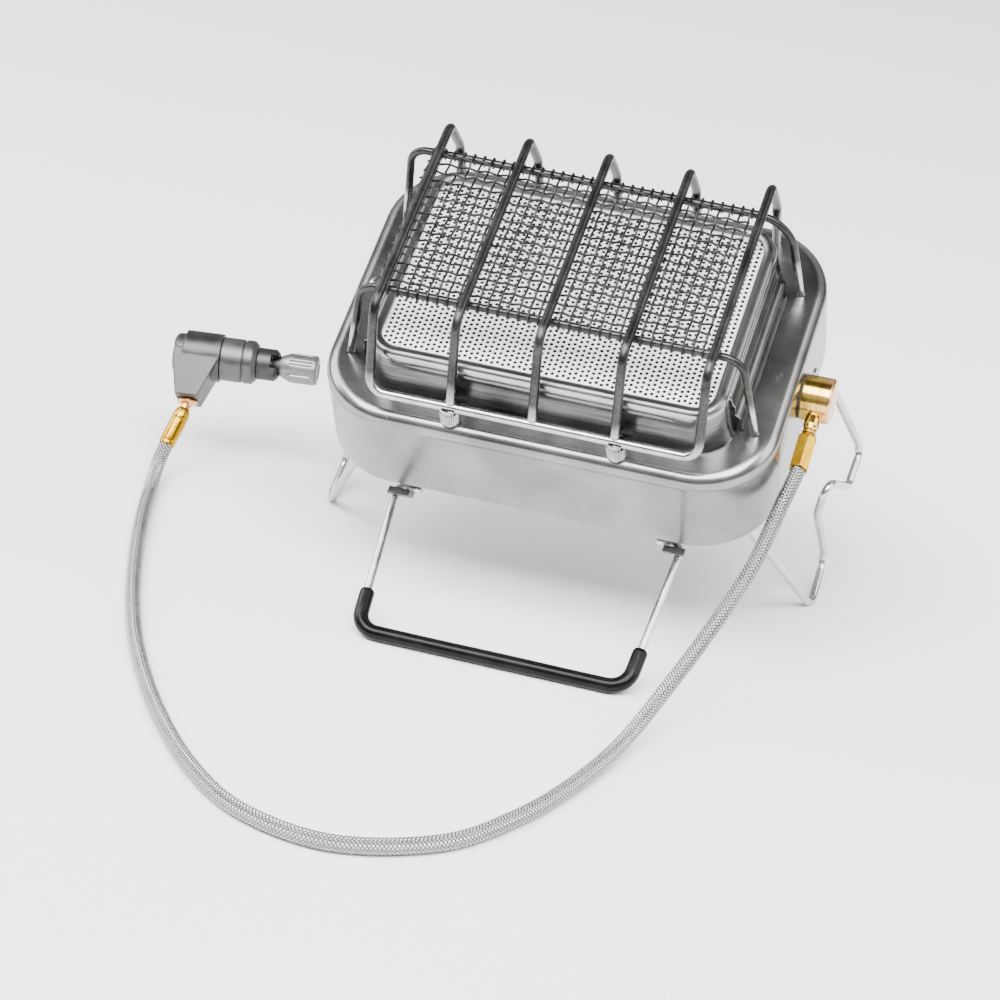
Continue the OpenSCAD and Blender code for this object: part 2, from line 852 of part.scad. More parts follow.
rivet_places = [
    for (sx = [-1, 1])
        for (y = [-front_pivot_y + rivet_front_inset, -crossbar_y + rivet_back_inset])
            [sx * (bracket_x - flange_width / 2), y]
];

// Bracket on the right: a riveted flange, an ear round the pivot and a lug
module leg_bracket() {
    ear_in = bracket_x - bracket_sheet / 2;
    flange_low = -body_height - bracket_sheet;
    front = -front_pivot_y - ear_r;
    back = -crossbar_y + ear_r;
    difference() {
        union() {
            translate([ear_in + bracket_sheet - flange_width, front + flange_inset,
                flange_low])
                cube([flange_width, back - front - flange_inset, bracket_sheet]);
            translate([ear_in, 0, 0]) rotate([90, 0, 90])
                linear_extrude(height = bracket_sheet) polygon([
                    [front + flange_inset, flange_low],
                    [front, flange_low - bracket_sheet],
                    [front, front_pivot_z],
                    [-front_pivot_y + ear_r, front_pivot_z],
                    [-front_pivot_y + 2 * ear_r, crossbar_top],
                    [back, crossbar_top], [back, flange_low]
                ]);
            translate([ear_in, -front_pivot_y, front_pivot_z]) rotate([0, 90, 0])
                cylinder(h = bracket_sheet, r = ear_r);
            translate([ear_in + bracket_sheet, front - 2 * lug_length / 3, lug_low])
                cube([lug_width, lug_length, lug_thick]);
            translate([ear_in, front - 2 * lug_length / 3, lug_low])
                cube([bracket_sheet, lug_length, lug_thick]);
        }
        translate([ear_in - over, -front_pivot_y, front_pivot_z])
            rotate([0, 90, 0])
                cylinder(h = bracket_sheet + 2 * over, r = front_wire_r + pin_gap);
        for (p = rivet_places) translate([p.x, p.y, flange_low - over])
            cylinder(h = bracket_sheet + 2 * over, r = rivet_r + slide_gap);
    }
}
crossbar_top = crossbar_z + rear_wire_r + stop_gap;
// The lug lies just above the arm where the leg is down
arm_slope = atan2(front_drop, front_level) - lean;
lug_low = front_pivot_z + front_wire_r / cos(arm_slope)
    - (ear_r - lug_length / 3) * tan(arm_slope) + stop_gap;

module leg_bracket_right() { color("gray") on_plate() leg_bracket(); }
module leg_bracket_left() {
    color("gray") on_plate() mirror(x_dir) leg_bracket();
}

module bracket_rivets() {
    grip = cover_sheet + bracket_sheet;
    color("lightgray") on_plate()
        for (p = rivet_places) translate([p.x, p.y, -body_height - bracket_sheet]) {
            cylinder(h = grip, r = rivet_r);
            translate([0, 0, -rivet_head])
                cylinder(h = rivet_head, r = rivet_head_r);
            translate([0, 0, grip]) cylinder(h = rivet_head, r = rivet_head_r);
        }
}

// Eyelets in the side walls, round the rear leg's pins
module leg_eyelets() {
    color("lightgray") on_plate() for (side = [0, 1]) mirror([side, 0, 0])
        translate([wall_x - sheet - eyelet_flange, rear_pivot_y, rear_pivot_z])
            rotate([0, 90, 0]) difference() {
                union() {
                    cylinder(h = eyelet_flange, r = eyelet_r + eyelet_flange);
                    cylinder(h = sheet + 2 * eyelet_flange, r = eyelet_r);
                    translate([0, 0, sheet + eyelet_flange])
                        cylinder(h = eyelet_flange, r = eyelet_flange_r);
                }
                translate([0, 0, -over])
                    cylinder(h = sheet + 2 * eyelet_flange + 2 * over,
                        r = rear_wire_r + pin_gap);
            }
}

// Front leg, folded down and forward
front_pivot = front_pivot_g + plate_y * y_dir;
front_bar = [0, front_pivot.y - front_level, sleeve_r];
function front_points(inset) = [
    front_pivot - (front_top_half - inset) * x_dir,
    front_pivot - front_top_half * x_dir, front_bar - front_bar_half * x_dir,
    front_bar + front_bar_half * x_dir, front_pivot + front_top_half * x_dir,
    front_pivot + (front_top_half - inset) * x_dir
];

module front_leg() {
    color("silver") wire(front_points(pin_inset), front_wire_r, front_bends);
}

// Path of the sleeve: its ends lie on the arms, a given way up them
function sleeve_points(up) = [
    for (side = [-1, 1]) let(
        low = front_bar + side * front_bar_half * x_dir,
        high = front_pivot + side * front_top_half * x_dir,
        end = low + up * unit(high - low))
    each (side < 0 ? [end, low] : [low, end])
];
module leg_sleeve() {
    color("black") difference() {
        wire(sleeve_points(sleeve_up), sleeve_r, [front_bends[1], front_bends[2]]);
        wire(sleeve_points(sleeve_up + over), sleeve_bore,
            [front_bends[1], front_bends[2]]);
    }
}

// Rear leg on one side, from its pin to the end of the crossbar
crossbar = ground([0, -crossbar_y, crossbar_z]);
rear_corners = [for (s = rear_shares) [
    wall_x + rear_outset * s[0], rear_pivot.y + rear_drop * s[1],
    rear_pivot.z - rear_drop * s[2]
]];
// How far a foot's corner must drop for its round bend to meet the ground
rear_foot = rear_corners[5];
foot_bend = rear_bends[6];
function foot_sink(foot) = let(
    down = unit(foot - rear_corners[4]),
    back = unit(crossbar + crossbar_half * x_dir - foot),
    inward = unit(back - (down * back) * down))
    foot_bend * (sqrt(down.z * down.z + inward.z * inward.z) - inward.z
        + tan(bent(down, back) / 2) * down.z)
    + rear_wire_r - rear_foot.z;
first_sink = foot_sink(rear_foot);
second_sink = foot_sink(rear_foot + first_sink * z_dir);
foot_place = rear_foot + foot_sink(rear_foot + second_sink * z_dir) * z_dir;
rear_half = concat(
    [rear_pivot + (wall_x - rear_pin_in) * x_dir,
        rear_pivot + (wall_x + rear_pin_out) * x_dir],
    [for (i = [0 : 4]) rear_corners[i]],
    [foot_place, crossbar + crossbar_half * x_dir]
);
function mirrored(p) = [-p.x, p.y, p.z];

module rear_leg() {
    last = len(rear_half) - 1;
    color("silver") wire(
        concat(rear_half, [for (i = [0 : last]) mirrored(rear_half[last - i])]),
        rear_wire_r,
        concat(rear_bends, [for (i = [0 : 7]) rear_bends[7 - i]]));
}

// Brass elbow: drum, stud through the wall and narrow neck
module inlet_elbow() {
    color("chocolate") on_plate() difference() {
        union() {
            translate([elbow_x, inlet_y, inlet_z]) rotate([0, 90, 0])
                rotate_extrude() polygon([
                    [0, 0], [elbow_r - elbow_chamfer / 2, 0],
                    [elbow_r, elbow_chamfer / 2],
                    [elbow_r, elbow_length - elbow_chamfer],
                    [elbow_r - elbow_chamfer, elbow_length], [0, elbow_length]
                ]);
            translate([stud_end, inlet_y, inlet_z]) rotate([0, 90, 0])
                cylinder(h = stud_length, r = stud_r);
            placed([neck_x, inlet_y, inlet_z], x_dir, ferrule_dir)
                rotate_extrude() polygon([
                    [0, elbow_r / 2], [neck_r, elbow_r / 2],
                    [neck_r, elbow_r + neck_length / 4],
                    [neck_waist_r, elbow_r + neck_length / 2],
                    [neck_waist_r, elbow_r + 0.75 * neck_length],
                    [neck_r, ferrule_start], [0, ferrule_start]
                ]);
        }
        translate([stud_end - over, inlet_y, inlet_z]) rotate([0, 90, 0])
            cylinder(h = neck_x - stud_end + over + elbow_bore_r, r = elbow_bore_r);
        placed([neck_x, inlet_y, inlet_z], x_dir, ferrule_dir)
            cylinder(h = ferrule_start + over, r = elbow_bore_r);
    }
}

module inlet_washer() {
    color("dimgray") on_plate()
        translate([wall_x, inlet_y, inlet_z]) rotate([0, 90, 0]) difference() {
            cylinder(h = washer_thick, r = washer_r);
            translate([0, 0, -over])
                cylinder(h = washer_thick + 2 * over, r = stud_r + slide_gap);
        }
}

module inlet_nut() {
    color("goldenrod") on_plate()
        translate([wall_x - sheet - inlet_nut_thick, inlet_y, inlet_z])
            rotate([0, 90, 0]) hex_nut(inlet_nut_flats, inlet_nut_thick, stud_r);
}

// Ferrule with a round nose and a six-sided body
module elbow_ferrule() {
    color("goldenrod") on_plate()
        placed([neck_x, inlet_y, inlet_z], x_dir, ferrule_dir)
            translate([0, 0, ferrule_start]) difference() {
                intersection() {
                    cylinder(h = ferrule_length, d = ferrule_flats / cos(30),
                        $fn = 6);
                    rotate_extrude() polygon([
                        [0, 0], [ferrule_nose_r, 0],
                        [ferrule_flats / 2 / cos(30), ferrule_nose],
                        [ferrule_flats / 2 / cos(30), ferrule_length],
                        [0, ferrule_length]
                    ]);
                }
                translate([0, 0, -over])
                    cylinder(h = ferrule_length / 2, r = elbow_bore_r);
            }
}

// Valve frame: x along its spindle, z away from its tail
valve_x = [cos(valve_turn), sin(valve_turn), 0];
valve_z = unit(-unit(tail_aim) - (-unit(tail_aim) * valve_x) * valve_x);
module at_valve() { placed(valve_place, valve_x, valve_z) children(); }
module along_valve(x) {
    at_valve() translate([x, 0, 0]) rotate([0, 90, 0]) children();
}
hose_dir = unit(hose_aim);
tail_end = valve_place - tail_length * valve_z;
// The ferrule leans from the tail at the end of the flare
flare_end = tail_end - flare_length * valve_z;
valve_ferrule_top = flare_end + flare_neck * hose_dir;
hose_end = valve_ferrule_top + tail_ferrule_length * hose_dir;
ferrule_side = unit(cross(hose_dir, x_dir));

module valve_ferrule() {
    color("goldenrod") placed(valve_ferrule_top, ferrule_side, hose_dir)
        rotate_extrude() polygon([
            [0, 0], [flare_waist_r, 0], [tail_ferrule_r * 0.85, ferrule_nose / 2],
            [tail_ferrule_r, ferrule_nose], [tail_ferrule_r, tail_ferrule_length],
            [0, tail_ferrule_length]
        ]);
}

module valve_tail() {
    color("peru") {
        placed(flare_end, valve_x, valve_z)
            cylinder(h = flare_length, r = flare_r);
        placed(flare_end - flare_length / 2 * hose_dir, ferrule_side, hose_dir)
            cylinder(h = flare_length / 2 + flare_neck, r = flare_waist_r);
    }
}

module valve_body() {
    bore = canister_r + insert_wall;
    color("dimgray") difference() {
        union() {
            along_valve(collar_start) rotate_extrude() {
                square([collar_r - collar_round, collar_length]);
                translate([0, collar_round])
                    square([collar_r, collar_length - collar_round]);
                translate([collar_r - collar_round, collar_round])
                    circle(r = collar_round);
            }
            along_valve(block_start) cylinder(h = block_length, r = block_r);
            at_valve() translate([0, tail_thick / 2, 0]) rotate([90, 0, 0])
                linear_extrude(height = tail_thick) polygon([
                    [-tail_left, 0], [tail_right, 0],
                    [tail_end_half, -tail_length], [-tail_end_half, -tail_length]
                ]);
        }
        along_valve(collar_start - over)
            cylinder(h = canister_depth + over, r = bore);
        along_valve(collar_start)
            cylinder(h = canister_depth + seal_thick, r = canister_r);
        along_valve(block_start + block_length - canister_depth)
            cylinder(h = canister_depth + over, r = spindle_r + pin_gap);
    }
}

// Threaded insert; the pin stands in the relief behind it
module canister_insert() {
    color("goldenrod") along_valve(collar_start) difference() {
        cylinder(h = canister_thread, r = canister_r + insert_wall);
        translate([0, 0, -over])
            cylinder(h = canister_thread + 2 * over, r = canister_r);
    }
}

module canister_seal() {
    color("black") along_valve(collar_start + canister_depth) difference() {
        cylinder(h = seal_thick, r = canister_r - pin_gap);
        translate([0, 0, -over])
            cylinder(h = seal_thick + 2 * over, r = canister_r - 2 * seal_r);
    }
}

module canister_pin() {
    start = collar_start + canister_depth + seal_thick - pin_length;
    color("goldenrod") along_valve(start) cylinder(h = pin_length, r = pin_r);
}

// Bonnet: barrel, groove and end ring with a chamfer
bonnet_start = block_start + block_length;
ring_start = bonnet_start + barrel_length + groove_width;
ring_end = ring_start + ring_length;
module valve_bonnet() {
    color("gray") along_valve(bonnet_start) difference() {
        rotate_extrude() polygon([
            [0, 0], [bonnet_r, 0], [bonnet_r, barrel_length],
            [bonnet_r - groove_depth, barrel_length],
            [bonnet_r - groove_depth, barrel_length + groove_width],
            [bonnet_r, barrel_length + groove_width],
            [bonnet_r, barrel_length + groove_width + ring_length - ring_chamfer],
            [bonnet_r - ring_chamfer, barrel_length + groove_width + ring_length],
            [0, barrel_length + groove_width + ring_length]
        ]);
        translate([0, 0, -over])
            cylinder(h = ring_end - bonnet_start + 2 * over, r = spindle_r + pin_gap);
    }
}

// Dark gland with a notched, hollowed end round the knob's nose
module valve_gland() {
    color("black") along_valve(ring_end) difference() {
        rotate_extrude() polygon([
            [0, 0], [gland_r, 0], [gland_r, gland_length - gland_chamfer],
            [gland_r - gland_chamfer, gland_length], [0, gland_length]
        ]);
        translate([0, 0, -over])
            cylinder(h = gland_length + 2 * over, r = spindle_r + pin_gap);
        translate([0, 0, gland_length - knob_sunk - seat_gap])
            cylinder(h = knob_sunk + seat_gap + over, r = gland_recess_r);
        translate([-gland_notch / 2, -gland_r - over,
            gland_length - knob_sunk - seat_gap])
            cube([gland_notch, 2 * (gland_r + over), knob_sunk + over]);
    }
}

// Spindle runs from the block through the gland into the knob
knob_low = ring_end + gland_length - knob_sunk;
spindle_start = bonnet_start - canister_depth + stop_gap;
module valve_spindle() {
    color("silver") along_valve(spindle_start)
        cylinder(h = knob_low - spindle_start, r = spindle_r);
}

// Knob: tapered nose, round end, flutes and a recess for its screw
module valve_knob() {
    color("gray") along_valve(knob_low) difference() {
        rotate_extrude() {
            polygon([
                [0, 0], [knob_nose_r, 0], [knob_r, knob_taper],
                [knob_r, knob_length - knob_round], [0, knob_length - knob_round]
            ]);
            translate([0, knob_length - 2 * knob_round])
                square([knob_r - knob_round, 2 * knob_round]);
            translate([knob_r - knob_round, knob_length - knob_round])
                circle(r = knob_round);
        }
        for (i = [0 : flute_count - 1]) rotate([0, 0, i * 360 / flute_count])
            translate([knob_r + flute_r / 2, 0, -over])
                cylinder(h = knob_length - 1.5 * knob_round + over, r = flute_r);
        translate([0, 0, knob_length - knob_recess])
            cylinder(h = knob_recess + over, r = knob_recess_r);
        translate([0, 0, knob_length - knob_recess - screw_grip])
            cylinder(h = screw_grip + over, r = knob_screw_r);
    }
}

module knob_screw() {
    color("dimgray") along_valve(knob_low + knob_length - knob_recess)
        difference() {
            union() {
                cylinder(h = knob_recess / 2, r = knob_screw_head_r);
                translate([0, 0, -screw_grip])
                    cylinder(h = screw_grip, r = knob_screw_r);
            }
            translate([-knob_screw_head_r, -driver_slot / 2, knob_recess / 4])
                cube([2 * knob_screw_head_r, driver_slot, knob_recess]);
        }
}

// Hose: a smooth curve through its route, swept as one tube
hose_begin = ground([neck_x, inlet_y, inlet_z]
    + (ferrule_start + ferrule_length) * ferrule_dir);
hose_begin_dir = ground_dir(ferrule_dir);
hose_points = concat([hose_begin], hose_route, [hose_end]);
hose_guides = concat([hose_begin - hose_lead * hose_begin_dir], hose_points,
    [hose_end - hose_lead * hose_dir]);
function curve(p, i, t) = 0.5 * (2 * p[i] + t * (p[i + 1] - p[i - 1])
    + t * t * (2 * p[i - 1] - 5 * p[i] + 4 * p[i + 1] - p[i + 2])
    + t * t * t * (3 * p[i] - p[i - 1] - 3 * p[i + 1] + p[i + 2]));
hose_line = concat(
    [for (i = [1 : len(hose_guides) - 3]) for (k = [0 : hose_steps - 1])
        curve(hose_guides, i, k / hose_steps)],
    [hose_end]
);
hose_last = len(hose_line) - 1;
function hose_way(i) =
    i == 0 ? hose_begin_dir :
    i == hose_last ? -hose_dir :
    unit(hose_line[i + 1] - hose_line[i - 1]);
function hose_ring(i) = let(
    way = hose_way(i), side = unit(cross(z_dir, way)), up = cross(way, side))
    [for (k = [0 : hose_sides - 1])
        hose_line[i] + hose_r * (cos(k * 360 / hose_sides) * side
            + sin(k * 360 / hose_sides) * up)];
hose_run = [for (i = [1 : hose_last]) norm(hose_line[i] - hose_line[i - 1])];
function total(v, i = 0) = i >= len(v) ? 0 : v[i] + total(v, i + 1);
echo(hose_length = total(hose_run), rings = len(hose_line));

module gas_hose() {
    n = hose_sides;
    color("silver") polyhedron(
        points = [for (i = [0 : hose_last]) each hose_ring(i)],
        faces = concat(
            [for (k = [1 : n - 2]) [0, k, k + 1]],
            [for (i = [0 : hose_last - 1]) for (k = [0 : n - 1]) let(
                a = i * n + k, b = i * n + (k + 1) % n)
                each [[a, a + n, b + n], [a, b + n, b]]],
            [for (k = [1 : n - 2])
                [hose_last * n, hose_last * n + k + 1, hose_last * n + k]]));
}

body_shell();
bottom_cover();
cover_posts();
cover_screws();
burner_frame();
plate_screw();
plate_screw_nut();
ceramic_tile();
tile_gaskets();
gas_box();
mixing_tube();
gas_jet();
knurled_posts();
guard_frame();
guard_rib_2();
guard_rib_3();
guard_rib_4();
front_cross_wire();
rear_cross_wire();
guard_net();
guard_clips();
leg_bracket_left();
leg_bracket_right();
bracket_rivets();
leg_eyelets();
front_leg();
leg_sleeve();
rear_leg();
inlet_elbow();
inlet_washer();
inlet_nut();
elbow_ferrule();
gas_hose();
valve_ferrule();
valve_tail();
valve_body();
canister_insert();
canister_seal();
canister_pin();
valve_bonnet();
valve_gland();
valve_spindle();
valve_knob();
knob_screw();
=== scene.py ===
import math
import random
import bmesh
import bpy
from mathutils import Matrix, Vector


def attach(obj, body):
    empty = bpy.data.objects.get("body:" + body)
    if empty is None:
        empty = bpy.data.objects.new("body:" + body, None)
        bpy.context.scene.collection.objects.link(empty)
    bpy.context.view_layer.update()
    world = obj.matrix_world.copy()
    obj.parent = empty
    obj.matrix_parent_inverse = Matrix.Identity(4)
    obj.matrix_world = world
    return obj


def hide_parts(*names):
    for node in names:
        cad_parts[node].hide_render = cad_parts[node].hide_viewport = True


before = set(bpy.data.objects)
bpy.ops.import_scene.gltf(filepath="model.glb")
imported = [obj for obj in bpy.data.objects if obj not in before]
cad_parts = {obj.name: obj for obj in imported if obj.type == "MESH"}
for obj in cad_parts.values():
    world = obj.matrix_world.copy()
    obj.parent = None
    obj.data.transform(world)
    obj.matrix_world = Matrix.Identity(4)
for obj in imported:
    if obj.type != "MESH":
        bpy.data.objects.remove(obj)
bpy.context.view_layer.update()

# Camera, floor and light
# The camera stands where the photograph's lines meet, a long way off with a
# long lens, and is rolled a little. The floor is pale paper under three lamps,
# in a bright room that is darker overhead and low down; the steel mirrors it.
scene = bpy.context.scene
lens = bpy.data.cameras.new("camera")
lens.lens, lens.sensor_width = 126.0, 36.0
lens.clip_start, lens.clip_end = 0.05, 30.0
camera = bpy.data.objects.new("camera", lens)
camera.location = (0.27149152, -1.17436499, 0.59551364)
camera.rotation_euler = (1.13202057, -0.09668235, 0.28953817)
scene.collection.objects.link(camera)
scene.camera = camera


class Tone:
    """A socket of one finish; sums on it add Math nodes."""

    def __init__(self, tree, socket):
        self.tree, self.socket = tree, socket

    def node(self, kind, settings=None, given=None, out=0):
        made = self.tree.nodes.new(kind)
        for name, value in (settings or {}).items():
            setattr(made, name, value)
        for name, value in (given or {}).items():
            if isinstance(value, Tone):
                self.tree.links.new(value.socket, made.inputs[name])
            else:
                made.inputs[name].default_value = value
        return Tone(self.tree, made.outputs[out])

    def math(self, operation, *others):
        given = dict(enumerate((self,) + others))
        return self.node("ShaderNodeMath", {"operation": operation}, given)

    def __add__(self, other):
        return self.math("ADD", other)

    def __sub__(self, other):
        return self.math("SUBTRACT", other)

    def __mul__(self, other):
        return self.math("MULTIPLY", other)

    def __rsub__(self, other):
        return self.node("ShaderNodeMath", {"operation": "SUBTRACT"}, {0: other, 1: self})

    __radd__, __rmul__ = __add__, __mul__

    def ramp(self, low, high, at_low=0.0, at_high=1.0):
        return self.node("ShaderNodeMapRange", {"interpolation_type": "SMOOTHSTEP"}, {
            "Value": self, "From Min": low, "From Max": high,
            "To Min": at_low, "To Max": at_high})

    def colours(self, dark, light):
        """The colour between two, each of them three numbers or a Tone."""
        dark, light = (c if isinstance(c, Tone) else (*c, 1) for c in (dark, light))
        return self.node("ShaderNodeMix", {"data_type": "RGBA"}, {0: self, 6: dark, 7: light},
                         out=2)

    def noise(self, scale, detail=2.0, stretch=(1, 1, 1)):
        placed = self.node("ShaderNodeMapping", {"vector_type": "TEXTURE"}, {
            "Vector": self, "Scale": tuple(1 / s for s in stretch)})
        return self.node("ShaderNodeTexNoise", {}, {
            "Vector": placed, "Scale": scale, "Detail": detail})

    def part(self, letter):
        return self.node("ShaderNodeSeparateXYZ", {}, {0: self}, out="XYZ".index(letter))


def finish(name, look, **fixed):
    """New material; look(place) gives what changes over the surface."""
    made = bpy.data.materials.new(name)
    made.use_nodes = True
    tree = made.node_tree
    shader = tree.nodes["Principled BSDF"]
    for socket, value in fixed.items():
        shader.inputs[socket.replace("_", " ")].default_value = value
    start = tree.nodes.new("ShaderNodeTexCoord")
    for socket, value in look(Tone(tree, start.outputs["Object"])).items():
        if socket == "Height":
            height, strength, depth = value
            value = height.node("ShaderNodeBump", {}, {
                "Height": height, "Strength": strength, "Distance": depth})
            socket = "Normal"
        tree.links.new(value.socket, shader.inputs[socket])
    return made


def mesh_of(name, points, faces, material, smooth=True):
    """Object from points in millimetres."""
    mesh = bpy.data.meshes.new(name)
    mesh.from_pydata([Vector(p) * 0.001 for p in points], [], faces)
    mesh.materials.append(material)
    mesh.polygons.foreach_set("use_smooth", [smooth] * len(mesh.polygons))
    mesh.validate()
    made = bpy.data.objects.new(name, mesh)
    scene.collection.objects.link(made)
    return made


paper = finish("floor_paper", lambda place: {
    "Base Color": place.noise(3.0).ramp(0.2, 0.8).colours((0.89, 0.89, 0.89), (0.91, 0.91, 0.91))},
    Roughness=0.9)
floor_half, floor_z = 4000, -0.05
four_corners = (-1, -1), (1, -1), (1, 1), (-1, 1)
floor = mesh_of("floor", [(x * floor_half, y * floor_half, floor_z) for x, y in four_corners],
                [(0, 1, 2, 3)], paper)
lamp_aim = Vector((0, 0, 0.08))


def soft_lamp(name, place, width, depth, power):
    """A rectangle of light that faces the heater."""
    light = bpy.data.lights.new(name, "AREA")
    light.shape, light.size, light.size_y, light.energy = "RECTANGLE", width, depth, power
    lamp = bpy.data.objects.new(name, light)
    lamp.location = place
    lamp.rotation_euler = (lamp_aim - Vector(place)).to_track_quat("-Z", "Y").to_euler()
    scene.collection.objects.link(lamp)


soft_lamp("front_lamp", (0.0, -0.80, 1.53), width=2.3, depth=1.0, power=122)
soft_lamp("left_lamp", (-1.4, 0.0, 1.0), width=0.8, depth=1.4, power=28)
soft_lamp("right_lamp", (1.4, 0.1, 0.9), width=0.8, depth=1.4, power=20)
room = bpy.data.worlds.new("room")
room.use_nodes = True
tree = room.node_tree
up = Tone(tree, tree.nodes.new("ShaderNodeTexCoord").outputs["Generated"]).part("Z")
low_down = up.ramp(0.22, 0.45, 0.38, 1.0)
overhead = up.ramp(0.78, 0.965, 1.0, 0.1)
shade = (low_down * overhead).colours((0, 0, 0), (1, 1, 1))
walls = tree.nodes["Background"]
tree.links.new(shade.socket, walls.inputs["Color"])
walls.inputs["Strength"].default_value = 0.85
scene.world = room

# Gas hose
# A rubber tube in a sleeve of fine stainless wires, braided ten bundles
# each way. It is crimped into a brass ferrule at both ends, falls from the
# inlet to the ground, runs round the front and rises to the valve.
hose_route = [
    (0.0905, -0.026, 0.065), (0.086, -0.0455, 0.047), (0.077, -0.068, 0.028),
    (0.0695, -0.088, 0.0155), (0.0615, -0.117, 0.0055), (0.053, -0.149, 0.0032),
    (0.041, -0.1805, 0.0031), (0.0225, -0.2075, 0.0031), (-0.0105, -0.223, 0.0031),
    (-0.044, -0.2165, 0.0031), (-0.070, -0.196, 0.0031), (-0.095, -0.164, 0.0031),
    (-0.117, -0.127, 0.0031), (-0.133, -0.092, 0.0031), (-0.146, -0.057, 0.0031),
    (-0.1565, -0.024, 0.0032), (-0.1628, 0.0, 0.0035), (-0.1656, 0.013, 0.0066)]
hose_begin = Vector((0.0926, -0.0133414, 0.0745939))
hose_begin_way = Vector((0, -0.819152, -0.573576))
hose_end = Vector((-0.164995, 0.0212484, 0.0136581))
hose_end_way = Vector((0.199938, 0.599813, 0.774758))
hose_r = 0.003
hose_lead = 0.020
guides = [hose_begin - hose_lead * hose_begin_way, hose_begin]
guides += [Vector(p) for p in hose_route]
guides += [hose_end, hose_end + hose_lead * hose_end_way]


def smooth_run(guides, steps):
    """Points of the smooth curve through the guides, first and last left out."""
    run = []
    for a, b, c, d in zip(guides, guides[1:], guides[2:], guides[3:]):
        for k in range(steps):
            t = k / steps
            run.append(0.5 * (2 * b + t * (c - a) + t * t * (2 * a - 5 * b + 4 * c - d)
                              + t ** 3 * (3 * b - a - 3 * c + d)))
    return run + [guides[-2]]


def even_run(run, step):
    """The same line in equal steps of about the given length."""
    lengths = [0.0]
    for a, b in zip(run, run[1:]):
        lengths.append(lengths[-1] + (b - a).length)
    count = max(2, round(lengths[-1] / step))
    out, j = [], 0
    for i in range(count + 1):
        want = lengths[-1] * i / count
        while j < len(run) - 2 and lengths[j + 1] < want:
            j += 1
        share = (want - lengths[j]) / (lengths[j + 1] - lengths[j])
        out.append(run[j].lerp(run[j + 1], min(1.0, share)))
    return out


def carried(line):
    """A side and an up direction at each point, carried along without twist."""
    ways = [(line[min(i + 1, len(line) - 1)] - line[max(i - 1, 0)]).normalized()
            for i in range(len(line))]
    side = ways[0].cross(Vector((0, 0, 1)) if abs(ways[0].z) < 0.9 else Vector((1, 0, 0)))
    sides = []
    for way in ways:
        side = (side - side.dot(way) * way).normalized()
        sides.append((side, way.cross(side)))
    return sides


# Where two bundles cross, the sleeve has a small raised point, in staggered
# rows. Both ends close alike only with an odd number of rows.
bundles, bundle_wires = 10, 4
row_step, row_stretch, curve_steps = 0.0007, 1.0008, 24
braid_low, braid_high = hose_r - 0.0003, hose_r
hose_line = even_run(smooth_run(guides, curve_steps), row_step)
if len(hose_line) % 2 == 0:
    hose_line = even_run(hose_line, row_step * row_stretch)
rows = len(hose_line)
points, low, high = [], [], []
for i, (middle, (side, up)) in enumerate(zip(hose_line, carried(hose_line))):
    for reach, shift, into in ((braid_low, i % 2 / 2, low), (braid_high, (i + 1) % 2 / 2, high)):
        into.append(range(len(points), len(points) + bundles))
        if into is high and i in (0, rows - 1):
            continue
        for k in range(bundles):
            turn = math.tau * (k + shift) / bundles
            points.append((middle + reach * (math.cos(turn) * side + math.sin(turn) * up)) * 1000)
faces, corners = [], []
square, peak = [(0, 0), (1, 0), (1, 1), (0, 1)], (0.5, 0.5)
for i in range(rows):
    for k in range(bundles):
        left = low[i][k if i % 2 == 0 else k - 1]
        right = low[i][(k + 1) % bundles if i % 2 == 0 else k]
        above = low[i + 1][k] if i + 1 < rows else None
        below = low[i - 1][k] if i > 0 else None
        if above is None or below is None:
            faces.append((left, right, above) if below is None else (right, left, below))
            corners.append(((0, 0), (1, 0), (0.5, 1)))
            continue
        ring = [left, above, right, below] if i % 2 == 0 else [above, right, below, left]
        for n in range(4):
            m = (n + 1) % 4
            faces.append((ring[m], ring[n], high[i][k]))
            corners.append((square[m], square[n], peak))
faces.append(tuple(low[0][k] for k in reversed(range(bundles))))
faces.append(tuple(low[rows - 1]))
corners += [((0, 0),) * bundles] * 2


def braid_look(place):
    lay = place.node("ShaderNodeUVMap", {"uv_map": "lay"})
    along_bundle = (lay.part("X") - 0.5).math("ABSOLUTE")
    across = (lay.part("Y") - 0.5).math("ABSOLUTE")
    wires = (lay.part("Y") * (math.tau * bundle_wires)).math("COSINE").ramp(-1.0, 1.0)
    # Base Color darkens at each diamond's edges and in lines between the wires: painted shade in
    # the crevices of the braid.
    middle = along_bundle.math("MAXIMUM", across).ramp(0.47, 0.33)
    tone = (1 - wires) * 0.12 + middle * 0.88
    return {
        "Base Color": tone.colours((0.015, 0.015, 0.015), (0.50, 0.50, 0.49)),
        "Roughness": place.noise(90.0, 3.0).ramp(0.35, 0.7, 0.24, 0.36),
        "Height": (1 - wires, 0.35, 0.0001)}


def metal(name, look):
    return finish(name, look, Metallic=1.0)


braid_steel = metal("braid_steel", braid_look)
hose = mesh_of("gas_hose_braid", points, faces, braid_steel, smooth=False)
lay = hose.data.uv_layers.new(name="lay")
for polygon, spots in zip(hose.data.polygons, corners):
    for loop, spot in zip(polygon.loop_indices, spots):
        lay.data[loop].uv = spot
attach(hose, "heater")
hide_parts("gas_hose")

# Body shell
# A deep-drawn tray of thin stainless steel, open below: a flat top with a
# broad round rim and straight walls. Its satin finish is soft and mottled,
# and handling has left it a little uneven.
lean = math.radians(30)
plate_at = Vector((0, 2.1628, 107.5))


def on_plate(x, y, z):
    """Millimetres over the tilted top plate to millimetres over the ground."""
    return plate_at + Vector((x, y * math.cos(lean) - z * math.sin(lean),
                              y * math.sin(lean) + z * math.cos(lean)))


def plate_way(x, y, z):
    """A direction over the plate as one over the ground."""
    return on_plate(x, y, z) - plate_at


